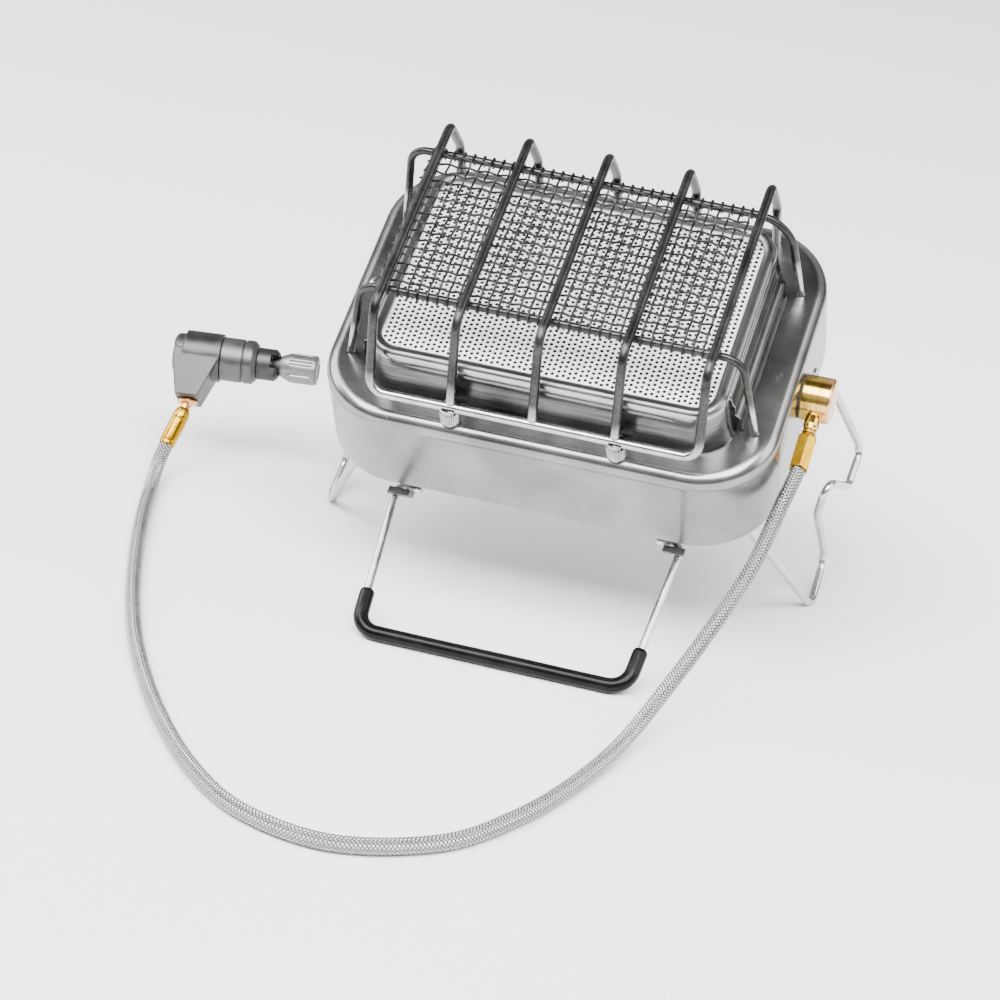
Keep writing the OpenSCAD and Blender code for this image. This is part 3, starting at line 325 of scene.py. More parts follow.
def along_plate(place):
    """Place over the tilted plate, in metres, as the finishes see it."""
    back = (0, -(plate_at.y * math.cos(lean) + plate_at.z * math.sin(lean)) / 1000,
            (plate_at.y * math.sin(lean) - plate_at.z * math.cos(lean)) / 1000)
    return place.node("ShaderNodeMapping", {"vector_type": "POINT"}, {
        "Vector": place, "Rotation": (-lean, 0, 0), "Location": back})


def lid_look(place):
    plate = along_plate(place)
    streaks = plate.noise(60.0, 4.0, stretch=(0.6, 24, 24))
    clouds = plate.noise(34.0, 3.0)
    scuffs = plate.noise(260.0, 5.0, stretch=(1, 0.35, 1)).ramp(0.62, 0.78)
    tone = clouds.ramp(0.3, 0.7) * 0.75 + streaks.ramp(0.3, 0.7) * 0.15 + scuffs * 0.1
    return {
        "Base Color": tone.colours((0.18, 0.1785, 0.175), (0.31, 0.3075, 0.301)),
        "Roughness": (clouds * 0.14 + streaks * 0.08 + scuffs * 0.06) + 0.12,
        "Height": (clouds * 0.92 + streaks * 0.08, 0.3, 0.0008)}


lid_steel = metal("lid_steel", lid_look)


def dress(material, *nodes):
    """Gives CAD nodes their finish."""
    for name in nodes:
        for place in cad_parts[name].material_slots:
            place.material = material


dress(lid_steel, "body_shell", "bottom_cover")

# Cover screws, posts, brackets, rivets, eyelets and clips
# Small zinc-plated pieces, pressed or turned, most of them under the body.
# Rivets hold the brackets, spring rings hold the wires below the plate.


def zinc_look(place):
    spangle = place.noise(420.0, 2.0)
    smear = place.noise(70.0, 3.0)
    return {
        "Base Color": (spangle * 0.4 + smear * 0.6).ramp(0.3, 0.7).colours(
            (0.24, 0.24, 0.235), (0.38, 0.38, 0.37)),
        "Roughness": smear.ramp(0.2, 0.8, 0.28, 0.46),
        "Height": (spangle, 0.15, 0.0003)}


zinc = metal("zinc_plate", zinc_look)
dress(zinc, "cover_posts", "cover_screws", "gas_box", "mixing_tube", "bracket_rivets",
      "leg_eyelets", "guard_clips", "plate_screw_nut")
# The leg brackets take a darker copy of the zinc finish: painted shade on the brackets.
shaded_zinc = metal("shaded_zinc_plate", lambda place: {
    "Base Color": place.noise(90.0, 3.0).ramp(0.3, 0.7).colours(
        (0.15, 0.15, 0.147), (0.25, 0.25, 0.245)),
    "Roughness": place.noise(140.0, 2.0).ramp(0.3, 0.7, 0.3, 0.44)})
dress(shaded_zinc, "leg_bracket_left", "leg_bracket_right")

# Burner frame
# A pressed frame of polished stainless sheet. Its lip slopes up from the
# window to a round edge, the front and back walls have a long pressed line,
# and a stepped strip is folded down along each short side.
core_x, core_y = 111.4 / 2, 67.8 / 2
window_corner, frame_out, frame_round, frame_top = 7.3, 12.0, 2.5, 20.0
frame_foot, frame_sheet, plate_gap = 2.3, 0.8, 0.05
lip_low, lip_under, lip_edge = 18.3, 19.2, 19.45
edge_steps, corner_steps, short_steps, long_steps = 8, 9, 18, 44
line_height, line_reach, line_depth, line_width = 15.7, 1.5, 0.32, 0.38
line_half, line_fade = 50.0, 5.0
wall_heights = (17.0, 16.6, 16.3, 16.0, 15.7, 15.4, 15.1, 14.8, 14.3, 12, 9, 6, 3, 1.2)


def wall_out(z):
    """How far out the wall stands at a height."""
    top = frame_top - frame_round
    return frame_out + frame_foot * (top - z) / top


frame_section = [(window_corner - 0.05, lip_low), (window_corner - 0.05, lip_under),
                 (window_corner + 0.2, lip_edge)]
for k in range(edge_steps + 1):
    turn = math.radians(90 - 90 * k / edge_steps)
    frame_section.append((frame_out - frame_round + frame_round * math.cos(turn),
                          frame_top - frame_round + frame_round * math.sin(turn)))
frame_section += [(wall_out(z), z) for z in wall_heights]
frame_section += [(wall_out(0.4) + 0.05, 0.4), (wall_out(0) + 0.25, plate_gap),
                  (wall_out(0) - frame_sheet, plate_gap)]
frame_section += [(wall_out(z) - frame_sheet, z) for z in (6, 12, 17.5)]
frame_section += [(frame_out - frame_round, lip_under), (window_corner + 0.17, lip_under),
                  (window_corner + 0.15, lip_low)]
around = []
for side in range(4):
    half_run, reach, count = ((core_y, core_x, short_steps) if side % 2 == 0 else
                              (core_x, core_y, long_steps))
    turn = math.pi / 2 * side
    way = Vector((math.cos(turn), math.sin(turn)))
    along = Vector((-math.sin(turn), math.cos(turn)))
    for k in range(count + 1):
        around.append((way * reach + along * half_run * (2 * k / count - 1), way))
    for k in range(1, corner_steps):
        step = turn + math.pi / 2 * k / corner_steps
        around.append((way * reach + along * half_run,
                       Vector((math.cos(step), math.sin(step)))))
points, faces = [], []
for middle, way in around:
    for out, up in frame_section:
        outside = abs(way.y) > 0.99 and out >= frame_out
        if outside and abs(up - line_height) < line_reach:
            fade = min(1.0, max(0.0, (line_half - abs(middle.x)) / line_fade))
            out -= line_depth * fade * math.exp(-((up - line_height) / line_width) ** 2)
        spot = middle + way * out
        points.append(on_plate(spot.x, spot.y, up))
size = len(frame_section)
for i in range(len(around)):
    j = (i + 1) % len(around)
    for k in range(size):
        m = (k + 1) % size
        faces.append((i * size + k, j * size + k, j * size + m, i * size + m))


def band(low, high, sides):
    """Faces between two rings of points that start at low and at high."""
    return [(low + k, low + (k + 1) % sides, high + (k + 1) % sides, high + k)
            for k in range(sides)]


strip_half, strip_ease, strip_inset, strip_spans = 33.0, 0.3, 0.25, 3
strip = [(11.8, 17.0), (12.5, 17.3), (12.9, 16.9), (13.6, 13.9), (14.15, 13.3), (14.3, 12.8),
         (14.35, 9.0), (14.5, 8.5), (15.0, 8.1), (15.7, 7.7), (16.05, 7.2), (16.3, 4.4),
         (16.4, 2.2), (16.7, 1.5), (17.15, 1.1), (17.2, 0.8), (17.15, plate_gap),
         (13.6, plate_gap)]
for side in (-1, 1):
    start = len(points)
    for y in (-strip_half, -strip_half + strip_ease, strip_half - strip_ease, strip_half):
        inward = strip_inset if abs(y) == strip_half else 0.0
        for out, up in strip:
            points.append(on_plate(side * (core_x + out - inward), y,
                                   max(plate_gap, up - inward)))
    n = len(strip)
    for row in range(strip_spans):
        for quad in band(start + row * n, start + (row + 1) * n, n):
            faces.append(quad if side > 0 else quad[::-1])
    low_cap = tuple(start + k for k in range(n))
    high_cap = tuple(start + strip_spans * n + k for k in range(n))
    faces += [low_cap[::-1] if side > 0 else low_cap, high_cap if side > 0 else high_cap[::-1]]


def frame_look(place):
    plate = along_plate(place)
    streaks = plate.noise(50.0, 3.0, stretch=(1, 1, 20))
    clouds = plate.noise(45.0, 3.0)
    out_x = plate.part("X").math("ABSOLUTE") - core_x / 1000
    out = out_x.math("MAXIMUM", plate.part("Y").math("ABSOLUTE") - core_y / 1000)
    lip = out.ramp(0.0107, 0.0118, 1.0, 0.0) * plate.part("Z").ramp(0.0175, 0.0185)
    burnt = lip * clouds.ramp(0.2, 0.75, 0.75, 1.0)
    # Above the top of the wall the frame is painted light and below it dark: a painted highlight on
    # the round top edge and painted shade on the walls.
    edge = plate.part("Z").ramp(0.0166, 0.0176)
    lit_edge_shaded_wall = ((streaks * 0.5 + clouds * 0.5).ramp(0.3, 0.7) * 0.35 + edge * 0.65).colours(
        (0.06, 0.0595, 0.058), (0.54, 0.535, 0.52))
    tinted = clouds.ramp(0.3, 0.7).colours((0.10, 0.099, 0.095), (0.17, 0.167, 0.161))
    return {
        "Base Color": burnt.colours(lit_edge_shaded_wall, tinted),
        "Roughness": (clouds * 0.14 + burnt * 0.1) + 0.14,
        "Height": (clouds, 0.18, 0.0005)}


frame_steel = metal("frame_steel", frame_look)
burner_rim = mesh_of("burner_frame_pressing", points, faces, frame_steel)


def crisp(made, degrees):
    """Smooth shading, with edges sharper than the angle kept."""
    work = bmesh.new()
    work.from_mesh(made.data)
    bmesh.ops.recalc_face_normals(work, faces=work.faces)
    for edge in work.edges:
        if len(edge.link_faces) == 2:
            edge.smooth = edge.calc_face_angle(0) < math.radians(degrees)
    work.to_mesh(made.data)
    work.free()


crisp(burner_rim, 38)
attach(burner_rim, "heater")
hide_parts("burner_frame")

# Ceramic tile
# A cast plate of white ceramic, pierced by rows of fine holes that stand
# staggered. It glows when the gas burns in them; cold, it is matt and chalky.
tile_top, tile_low, tile_round, round_steps = 18.2, 5.2, 10.3, 6
hole_pitch_x, hole_pitch_y, hole_shift = 2.07, 2.15, 0.31
hole_r, hole_depth, hole_sides = 0.74, 3.5, 8
columns, cells_down = 60, 37
points, faces = [], []


def tile_point(x, y, z):
    points.append(on_plate(x, y, z))
    return len(points) - 1


def tile_corners(z):
    """The tile's outline at a height, as the points of its four round corners."""
    out = []
    for k, (side_x, side_y) in enumerate(four_corners):
        turns = [math.pi * (1 + (k + n / round_steps) / 2) for n in range(round_steps + 1)]
        out.append([tile_point(side_x * core_x + tile_round * math.cos(turn),
                               side_y * core_y + tile_round * math.sin(turn), z) for turn in turns])
    return out


grid = [[tile_point((i - columns / 2) * hole_pitch_x, (j - cells_down / 2) * hole_pitch_y, tile_top)
         for j in range(cells_down + 1)] for i in range(columns + 1)]
for i in range(columns):
    for j in range(cells_down):
        middle_x = (i + 0.5 - columns / 2) * hole_pitch_x
        middle_y = (j + 0.5 - cells_down / 2) * hole_pitch_y + hole_shift * (1 if i % 2 else -1)
        ring = []
        for k in range(hole_sides):
            turn = math.tau * (k + 0.5) / hole_sides
            ring.append(tile_point(middle_x + hole_r * math.cos(turn),
                                   middle_y + hole_r * math.sin(turn), tile_top))
        pit = tile_point(middle_x, middle_y, tile_top - hole_depth)
        faces += [(ring[k], ring[(k + 1) % hole_sides], pit) for k in range(hole_sides)]
        cell = (grid[i + 1][j + 1], grid[i][j + 1], grid[i][j], grid[i + 1][j])
        for n, corner in enumerate(cell):
            faces.append((corner, ring[2 * n + 1], ring[2 * n]))
            faces.append((corner, cell[(n + 1) % 4], ring[(2 * n + 2) % hole_sides],
                          ring[2 * n + 1]))
rim_top, rim_low = tile_corners(tile_top), tile_corners(tile_low)
edges = [[line[0] for line in grid], grid[-1], [line[-1] for line in grid[::-1]], grid[0][::-1]]
half = round_steps // 2
for k in range(4):
    m = (k + 1) % 4
    faces.append((*rim_top[k][half:], *rim_top[m][:half + 1], *edges[k][::-1]))
top_ring, low_ring = sum(rim_top, []), sum(rim_low, [])
for k in range(len(top_ring)):
    faces.append((low_ring[k - 1], low_ring[k], top_ring[k], top_ring[k - 1]))
faces.append(tuple(low_ring[::-1]))


def ceramic_look(place):
    plate = along_plate(place)
    smoke = plate.noise(28.0, 4.0)
    grain = plate.noise(1500.0, 2.0)
    # Everything below the tile's top, that is the walls of the holes, is painted near black:
    # painted shade inside the holes.
    depth = plate.part("Z").ramp(0.01795, 0.01817)
    chalk = (smoke * 0.7 + grain * 0.3).ramp(0.3, 0.65).colours(
        (0.84, 0.825, 0.79), (0.95, 0.945, 0.93))
    return {
        "Base Color": depth.colours((0.05, 0.045, 0.04), chalk),
        "Height": (grain, 0.3, 0.0002)}


chalky = finish("white_ceramic", ceramic_look, Roughness=0.92)
tile = mesh_of("pierced_ceramic_tile", points, faces, chalky, smooth=False)
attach(tile, "heater")
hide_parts("ceramic_tile")

# Tile gaskets
# Pressed fibre, cut to the tile's outline, above and below it.
fibre = finish("pressed_fibre", lambda place: {
    "Base Color": place.noise(700.0, 4.0, stretch=(0.2, 1, 1)).ramp(0.3, 0.7).colours(
        (0.48, 0.45, 0.41), (0.74, 0.72, 0.68)),
    "Height": (place.noise(1200.0, 3.0), 0.5, 0.0003)}, Roughness=0.95)
dress(fibre, "tile_gaskets")

# Gas jet and brass inlet
# A turned brass drum on a threaded stud, with a fibre washer against the
# wall. Its neck is soldered in, and the soldering has flushed the brass pink.
inlet_y, inlet_z, neck_x = 1.5, -18.0, 92.6
stud_axis, neck_axis = on_plate(0, inlet_y, inlet_z), on_plate(neck_x, inlet_y, inlet_z)
drum_in, drum_out, drum_r, drum_edge = 86.7, 98.1, 8.65, 0.8
stud_in, stud_out, stud_r, stud_bore_r = 80.1, 87.3, 4.0, 1.5
ferrule_start = 16.0
neck_dip = math.radians(5)
neck_way = plate_way(0, -math.cos(neck_dip), -math.sin(neck_dip))
right_way = Vector((1, 0, 0))


def turned(name, outline, base, axis, material, sides=96, closed=False, sharp=30):
    """Lathe work: (along, radius) pairs turned about the axis through base."""
    axis = axis.normalized()
    side = axis.orthogonal().normalized()
    up = axis.cross(side)
    points, rings, faces = [], [], []
    for along, radius in outline:
        start = len(points)
        if radius == 0:
            rings.append([start] * sides)
            points.append(base + along * axis)
            continue
        rings.append(list(range(start, start + sides)))
        for k in range(sides):
            turn = math.tau * k / sides
            reach = radius(turn) if callable(radius) else radius
            points.append(base + along * axis
                          + reach * (math.cos(turn) * side + math.sin(turn) * up))
    pairs = list(zip(rings, rings[1:])) + ([(rings[-1], rings[0])] if closed else [])
    for low, high in pairs:
        for k in range(sides):
            m = (k + 1) % sides
            face = tuple(dict.fromkeys((low[k], low[m], high[m], high[k])))
            if len(face) > 2:
                faces.append(face)
    made = mesh_of(name, points, faces, material)
    crisp(made, sharp)
    return made


def eased(outline, cut, steps=4):
    """Outline with its inner corners rounded over the given length."""
    out = [outline[0]]
    for a, b, c in zip(outline, outline[1:], outline[2:]):
        a, b, c = Vector(a), Vector(b), Vector(c)
        take = min(cut, 0.45 * (a - b).length, 0.45 * (c - b).length)
        start, end = b + take * (a - b).normalized(), b + take * (c - b).normalized()
        for k in range(steps + 1):
            t = k / steps
            spot = start * (1 - t) ** 2 + b * 2 * t * (1 - t) + end * t * t
            out.append((spot.x, spot.y))
    return out + [outline[-1]]


def drum_look(place):
    plate = along_plate(place)
    rings = plate.noise(900.0, 2.0, stretch=(1, 0.02, 0.02))
    flush = plate.noise(120.0, 3.0).ramp(0.5, 0.75)
    ends = plate.part("X").ramp(0.0925, 0.0978)
    pink = flush.math("MAXIMUM", ends)
    gold = rings.ramp(0.2, 0.8).colours((0.56, 0.33, 0.04), (0.80, 0.56, 0.13))
    return {
        "Base Color": (pink * 0.5).colours(gold, (0.80, 0.40, 0.22)),
        "Roughness": (rings * 0.10 + flush * 0.06) + 0.10,
        "Height": (rings, 0.2, 0.0002)}


drum_brass = metal("brass_drum", drum_look)
drum = turned("inlet_drum", eased([
    (drum_in, 0), (drum_in, drum_r - 0.4), (drum_in + 0.4, drum_r), (drum_out - drum_edge, drum_r),
    (drum_out, drum_r - drum_edge), (drum_out, 0)], 0.35),
    stud_axis, right_way, drum_brass, sides=128)
stud = turned("inlet_stud", [
    (stud_in, stud_bore_r), (stud_in, stud_r - 0.4), (stud_in + 0.4, stud_r),
    (stud_out, stud_r), (stud_out, stud_bore_r)], stud_axis, right_way, drum_brass, closed=True)
neck = turned("inlet_neck", eased([
    (6.5, 0), (6.5, 3.0), (12.6, 3.0), (13.6, 2.55), (14.6, 2.5), (15.2, 2.8),
    (ferrule_start, 2.8), (ferrule_start, 0)], 0.5), neck_axis, neck_way, drum_brass, sides=72)
for piece in (drum, stud, neck):
    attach(piece, "heater")
    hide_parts("inlet_elbow")


def brass_look(place):
    clouds = place.noise(160.0, 3.0)
    lines = place.noise(700.0, 2.0)
    return {
        "Base Color": (clouds * 0.6 + lines * 0.4).ramp(0.3, 0.7).colours(
            (0.38, 0.19, 0.006), (0.62, 0.37, 0.02)),
        "Roughness": clouds.ramp(0.25, 0.75, 0.16, 0.3),
        "Height": (lines, 0.12, 0.0002)}


brass = metal("brass", brass_look)
dress(brass, "gas_jet", "inlet_nut")

# Inlet washer
# A dark fibre washer between the drum and the wall.
joint_fibre = finish("joint_fibre", lambda place: {
    "Base Color": place.noise(900.0, 3.0).ramp(0.3, 0.7).colours(
        (0.025, 0.024, 0.022), (0.07, 0.066, 0.06)),
    "Height": (place.noise(1500.0, 3.0), 0.4, 0.0002)}, Roughness=0.8)
dress(joint_fibre, "canister_seal")
washer_in, washer_out, washer_r, washer_hole_r = 86.3, 86.72, 8.25, 4.15
washer = turned("inlet_washer_fibre", eased([
    (washer_in, washer_hole_r), (washer_in, washer_r), (washer_out, washer_r),
    (washer_out, washer_hole_r)], 0.12), stud_axis, right_way, joint_fibre, closed=True)
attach(washer, "heater")
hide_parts("inlet_washer")

# Ferrules of the hose
# The hexagonal ferrule at the heater is drawn from bar and its nose is
# turned round. The one at the valve is round. Both are crimped on the braid.
hex_half, nose_long, nose_steps, hex_long = 3.4, 3.0, 8, 15.5


def hexagon(limit=math.inf):
    """Radius of the hexagonal bar at a turn, turned down to a limit."""
    def reach(turn):
        off = (turn + math.pi / 6) % (math.pi / 3) - math.pi / 6
        return min(limit, hex_half / math.cos(off))
    return reach


nose = []
for k in range(nose_steps + 1):
    t = k / nose_steps
    nose.append((0.1 + nose_long * t, hexagon(2.55 + 1.38 * math.sin(t * math.pi / 2))))
outline = [(0.05, 0), (0.05, 2.35)] + nose + [
    (6.0, hexagon()), (10.5, hexagon()), (hex_long - 0.5, hexagon()),
    (hex_long - 0.12, hexagon(3.75)), (hex_long, hexagon(3.5)), (hex_long, 3.02),
    (hex_long - 1.2, 3.0), (hex_long - 1.2, 0)]
crimped_hex = turned("elbow_ferrule_hex", outline, neck_axis + ferrule_start * neck_way,
                     neck_way, brass, sides=72, sharp=24)
valve_place = Vector((-163.7, 45, 43.7))
valve_turn = math.radians(10.35)
valve_x = Vector((math.cos(valve_turn), math.sin(valve_turn), 0))
valve_z = -Vector((0.113, -0.62, -0.77)).normalized()
valve_z = (valve_z - valve_z.dot(valve_x) * valve_x).normalized()
valve_y = valve_z.cross(valve_x)
tail_long, flare_long, flare_neck = 19.0, 1.6, 1.8
hose_way = Vector((-0.2, -0.6, -0.775)).normalized()
flare_end = valve_place - (tail_long + flare_long) * valve_z
ferrule_top = flare_end + flare_neck * hose_way
round_long, round_r = 16.4, 3.3
crimped_round = turned("valve_ferrule_round", eased([
    (0.0, 0), (0.0, 1.95), (1.0, 2.6), (2.4, 3.05), (3.4, round_r), (4.6, round_r),
    (4.9, 3.18), (5.6, 3.18), (5.9, round_r), (round_long - 2.0, round_r),
    (round_long - 1.7, 3.2), (round_long - 1.2, 3.2), (round_long - 0.9, round_r),
    (round_long - 0.2, round_r), (round_long, 3.12), (round_long - 1.0, 3.0),
    (round_long - 1.0, 0)], 0.3), ferrule_top, hose_way, brass, sides=72)
for piece, node in ((crimped_hex, "elbow_ferrule"), (crimped_round, "valve_ferrule")):
    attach(piece, "heater")
    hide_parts(node)

# Copper flare
# The flared end of a soft copper tube, drawn tight against the valve's tail.
copper = metal("copper", lambda place: {
    "Base Color": place.noise(200.0, 3.0).ramp(0.3, 0.7).colours(
        (0.70, 0.30, 0.13), (0.88, 0.52, 0.24)),
    "Roughness": place.noise(300.0, 2.0).ramp(0.3, 0.7, 0.16, 0.3)})
flare = turned("valve_tail_flare", eased([
    (0.02, 0), (0.02, 3.7), (0.5, 4.2), (1.1, 4.15), (1.5, 3.6), (1.9, 2.7), (2.2, 2.1),
    (2.2, 0)], 0.4), valve_place - tail_long * valve_z, -valve_z, copper, sides=72)
tube = turned("valve_tail_tube", [(-0.9, 0), (-0.9, 2.0), (flare_neck + 0.3, 2.0),
                                  (flare_neck + 0.3, 0)], flare_end, hose_way, copper, sides=72)
for piece in (flare, tube):
    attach(piece, "heater")
    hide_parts("valve_tail")

# Valve block
# Die-cast zinc, shot-blasted and plated dark: a barrel with a wedge-shaped
# tail and a threaded end for the gas canister.


def on_valve(x, y, z):
    """Along the valve's barrel, across it and away from its tail."""
    return valve_place + x * valve_x + y * valve_y + z * valve_z


def blasted_look(low, high):
    """Fine matt metal between two greys."""
    def look(place):
        grit = place.noise(2600.0, 2.0)
        clouds = place.noise(110.0, 3.0)
        tone = clouds.ramp(0.3, 0.7) * 0.7 + grit * 0.3
        return {
            "Base Color": tone.colours((low, low, low * 1.01), (high, high, high * 1.01)),
            "Roughness": clouds.ramp(0.25, 0.75, 0.34, 0.48),
            "Height": (grit, 0.25, 0.00012)}
    return look


gunmetal = metal("blasted_gunmetal", blasted_look(0.055, 0.095))


def shaped(made, kind, **settings):
    """Carries out one modifier on a piece for good."""
    step = made.modifiers.new("step", kind)
    for name, value in settings.items():
        setattr(step, name, value)
    bpy.context.view_layer.update()
    done = bpy.data.meshes.new_from_object(
        made.evaluated_get(bpy.context.evaluated_depsgraph_get()))
    made.modifiers.clear()
    old = made.data
    made.data = done
    done.name = old.name
    bpy.data.meshes.remove(old)


def cut_with(made, cutter):
    shaped(made, "BOOLEAN", operation="DIFFERENCE", object=cutter, solver="EXACT")
    bpy.data.objects.remove(cutter)


block_low, block_high, block_r = -4.0, 11.0, 9.7
collar_low, collar_r, collar_ease, wedge_half = -8.2, 8.2, 2.4, 9.5
thread_r, thread_long, insert_r, stem_r, stem_in = 5.56, 4.2, 6.76, 2.58, 3.9
block = turned("valve_block", [(block_low, 0), (block_low, block_r), (block_high, block_r),
                               (block_high, 0)], valve_place, valve_x, gunmetal)
collar = turned("collar", eased([
    (collar_low, 0), (collar_low, collar_r), (0, collar_r), (0, 0)], collar_ease),
    valve_place, valve_x, gunmetal)
outline = [(-7.8, 0), (10.6, 0), (10.2, -4), (4.5, -tail_long), (-4.5, -tail_long), (-7.6, -4)]
points = [on_valve(x, side * (wedge_half + z / tail_long), z)
          for side in (-1, 1) for x, z in outline]
faces = [(0, 1, 2, 3, 4, 5), (11, 10, 9, 8, 7, 6)]
faces += [(k, k + 6, (k + 1) % 6 + 6, (k + 1) % 6) for k in range(6)]
wedge = mesh_of("wedge", points, faces, gunmetal)
work = bmesh.new()
for piece in (block, collar, wedge):
    work.from_mesh(piece.data)
bmesh.ops.recalc_face_normals(work, faces=work.faces)
work.to_mesh(block.data)
work.free()
for piece in (collar, wedge):
    bpy.data.objects.remove(piece)
shaped(block, "REMESH", mode="VOXEL", voxel_size=0.0003)
shaped(block, "SMOOTH", factor=0.5, iterations=6)
bore = turned("bore", [
    (collar_low - 1, 0), (collar_low - 1, insert_r), (collar_low + thread_long, insert_r),
    (collar_low + thread_long, thread_r), (0, thread_r), (0, 0)], valve_place, valve_x, gunmetal)
cut_with(block, bore)
stem_bore = turned("stem_bore", [
    (stem_in, 0), (stem_in, stem_r), (block_high + 1, stem_r), (block_high + 1, 0)],
    valve_place, valve_x, gunmetal)
cut_with(block, stem_bore)
crisp(block, 40)
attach(block, "heater")
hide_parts("valve_body")

# Canister thread, seal and pin
# A brass insert with a fine thread takes the canister. The pin behind the
# rubber seal opens the canister's own valve.
thread_depth, thread_pitch, thread_steps, thread_sides, seat_gap = 0.42, 0.907, 42, 72, 0.02
fade_in, fade_out = 0.5, 0.4


def thread_radius(deep, share):
    """Inner radius of the insert at a depth and at a share of a whole turn."""
    into = thread_depth * min(1.0, 1.25 * abs(2 * ((deep / thread_pitch + share) % 1) - 1))
    fade = min(1.0, deep / fade_in, (thread_long - deep) / fade_out)
    return thread_r + seat_gap - into * max(0.0, fade)


depths = [0, thread_long] + [thread_long * (1 - i / thread_steps) for i in range(thread_steps + 1)]
points, faces, rings = [], [], []
for i, deep in enumerate(depths):
    rings.append(len(points))
    for k in range(thread_sides):
        turn = math.tau * k / thread_sides
        radius = insert_r - seat_gap if i < 2 else thread_radius(deep, k / thread_sides)
        points.append(on_valve(collar_low + deep, radius * math.cos(turn),
                               radius * math.sin(turn)))
for low, high in zip(rings, rings[1:] + rings[:1]):
    faces += band(low, high, thread_sides)
thread = mesh_of("canister_thread", points, faces, brass)
crisp(thread, 50)
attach(thread, "heater")
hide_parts("canister_insert")
dress(brass, "canister_pin")

# Bonnet and spindle
# The bonnet is screwed into the block: a turned barrel, a groove and an end
# ring with a broad chamfer. The spindle runs through it.
turned_steel = metal("turned_steel", blasted_look(0.09, 0.14))
bonnet_end, bonnet_r, groove_r, bonnet_nose_r = 25.4, 8.75, 8.15, 7.15
bonnet = turned("valve_barrel", eased([
    (block_high, 0), (block_high, bonnet_r), (19.6, bonnet_r), (19.75, groove_r),
    (20.25, groove_r), (20.4, bonnet_r), (23.6, bonnet_r), (bonnet_end, bonnet_nose_r),
    (bonnet_end, 0)], 0.45), valve_place, valve_x, turned_steel, sides=128)
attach(bonnet, "heater")
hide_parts("valve_bonnet")
dress(turned_steel, "valve_spindle")

# Gland
# A black-oxide steel nut whose open end is slotted for a wrench.
gland_black = metal("black_oxide", blasted_look(0.04, 0.085))
gland_end, gland_floor, gland_r, gland_hole_r = 34.0, 30.8, 6.4, 4.6
notch_half, notch_reach = 2.7, 8
gland = turned("valve_gland_nut", eased([
    (bonnet_end, 0), (bonnet_end, gland_r), (32.6, gland_r), (gland_end, 5.1),
    (gland_end, gland_hole_r), (gland_floor, gland_hole_r), (gland_floor, stem_r), (27.0, stem_r),
    (27.0, 0)], 0.3), valve_place, valve_x, gland_black, sides=96)
block_faces = [(0, 1, 3, 2), (6, 7, 5, 4), (0, 4, 5, 1), (1, 5, 7, 3), (3, 7, 6, 2), (2, 6, 4, 0)]


def cut_block(made, corners):
    """Cuts a block, given by its eight corners, out of a piece."""
    cutter = mesh_of("cutter", corners, block_faces, made.data.materials[0], smooth=False)
    crisp(cutter, 30)
    cut_with(made, cutter)


cut_block(gland, [on_valve(x, y, z) for x in (gland_floor, gland_end + 1)
                  for y in (-notch_reach, notch_reach) for z in (-notch_half, notch_half)])
crisp(gland, 30)
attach(gland, "heater")
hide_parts("valve_gland")
dress(gland_black, "knob_screw")

# Knob
# Turned steel with a tapered nose and eight milled flutes, held on the
# spindle by a screw in its hollow end.
knob_start, knob_long, knob_r, knob_taper, nose_r = 31.0, 18.9, 6.0, 8.4, 2.3
knob_edge, hollow_r, hollow_deep = 1.6, 3.2, 1.5
flute_count, flute_middle, flute_r, flute_end, flute_fade = 8, 6.75, 1.5, 15.5, 1.8
taper_steps, fade_steps, end_steps = 14, 7, 8
knob_steel = metal("knob_steel", blasted_look(0.19, 0.31))


def fluted(radius, share=1.0):
    """Radius of the knob at a turn, where a flute takes away a share of its depth."""
    def reach(turn):
        off = (turn * flute_count / math.tau + 0.5) % 1 - 0.5
        off *= math.tau / flute_count
        across = flute_middle * math.sin(off)
        if abs(across) >= flute_r:
            return radius
        bottom = flute_middle * math.cos(off) - math.sqrt(flute_r ** 2 - across ** 2)
        return min(radius, bottom + (1 - share) * max(0.0, radius - bottom))
    return reach


outline = [(0, 0), (0, nose_r - 0.2), (0.2, nose_r)]
for k in range(1, taper_steps + 1):
    t = k / taper_steps
    rise = 0.75 * t + 0.25 * math.sin(t * math.pi / 2)
    outline.append((0.2 + (knob_taper - 0.2) * t, fluted(nose_r + (knob_r - nose_r) * rise)))
outline += [(along, fluted(knob_r)) for along in (11.0, 13.5, 15.3)]
for k in range(fade_steps + 1):
    t = k / fade_steps
    outline.append((flute_end + flute_fade * t, fluted(knob_r, share=1 - t * t)))
for k in range(1, end_steps + 1):
    turn = math.pi / 2 * k / end_steps
    outline.append((knob_long - knob_edge + knob_edge * math.sin(turn),
                    knob_r - knob_edge + knob_edge * math.cos(turn)))
outline += [(knob_long, hollow_r + 0.25), (knob_long - 0.25, hollow_r),
            (knob_long - hollow_deep, hollow_r), (knob_long - hollow_deep, 0)]
knob = turned("valve_knob_fluted", outline, valve_place + knob_start * valve_x, valve_x,
              knob_steel, sides=160, sharp=32)
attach(knob, "knob")
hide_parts("valve_knob")

# Guard wires
# Five ribs bent from steel wire over the burner, a rail that joins them at
# the front and two cross wires below them. The flame has turned the tops a
# dull dark grey; the feet and the rail keep their plating.


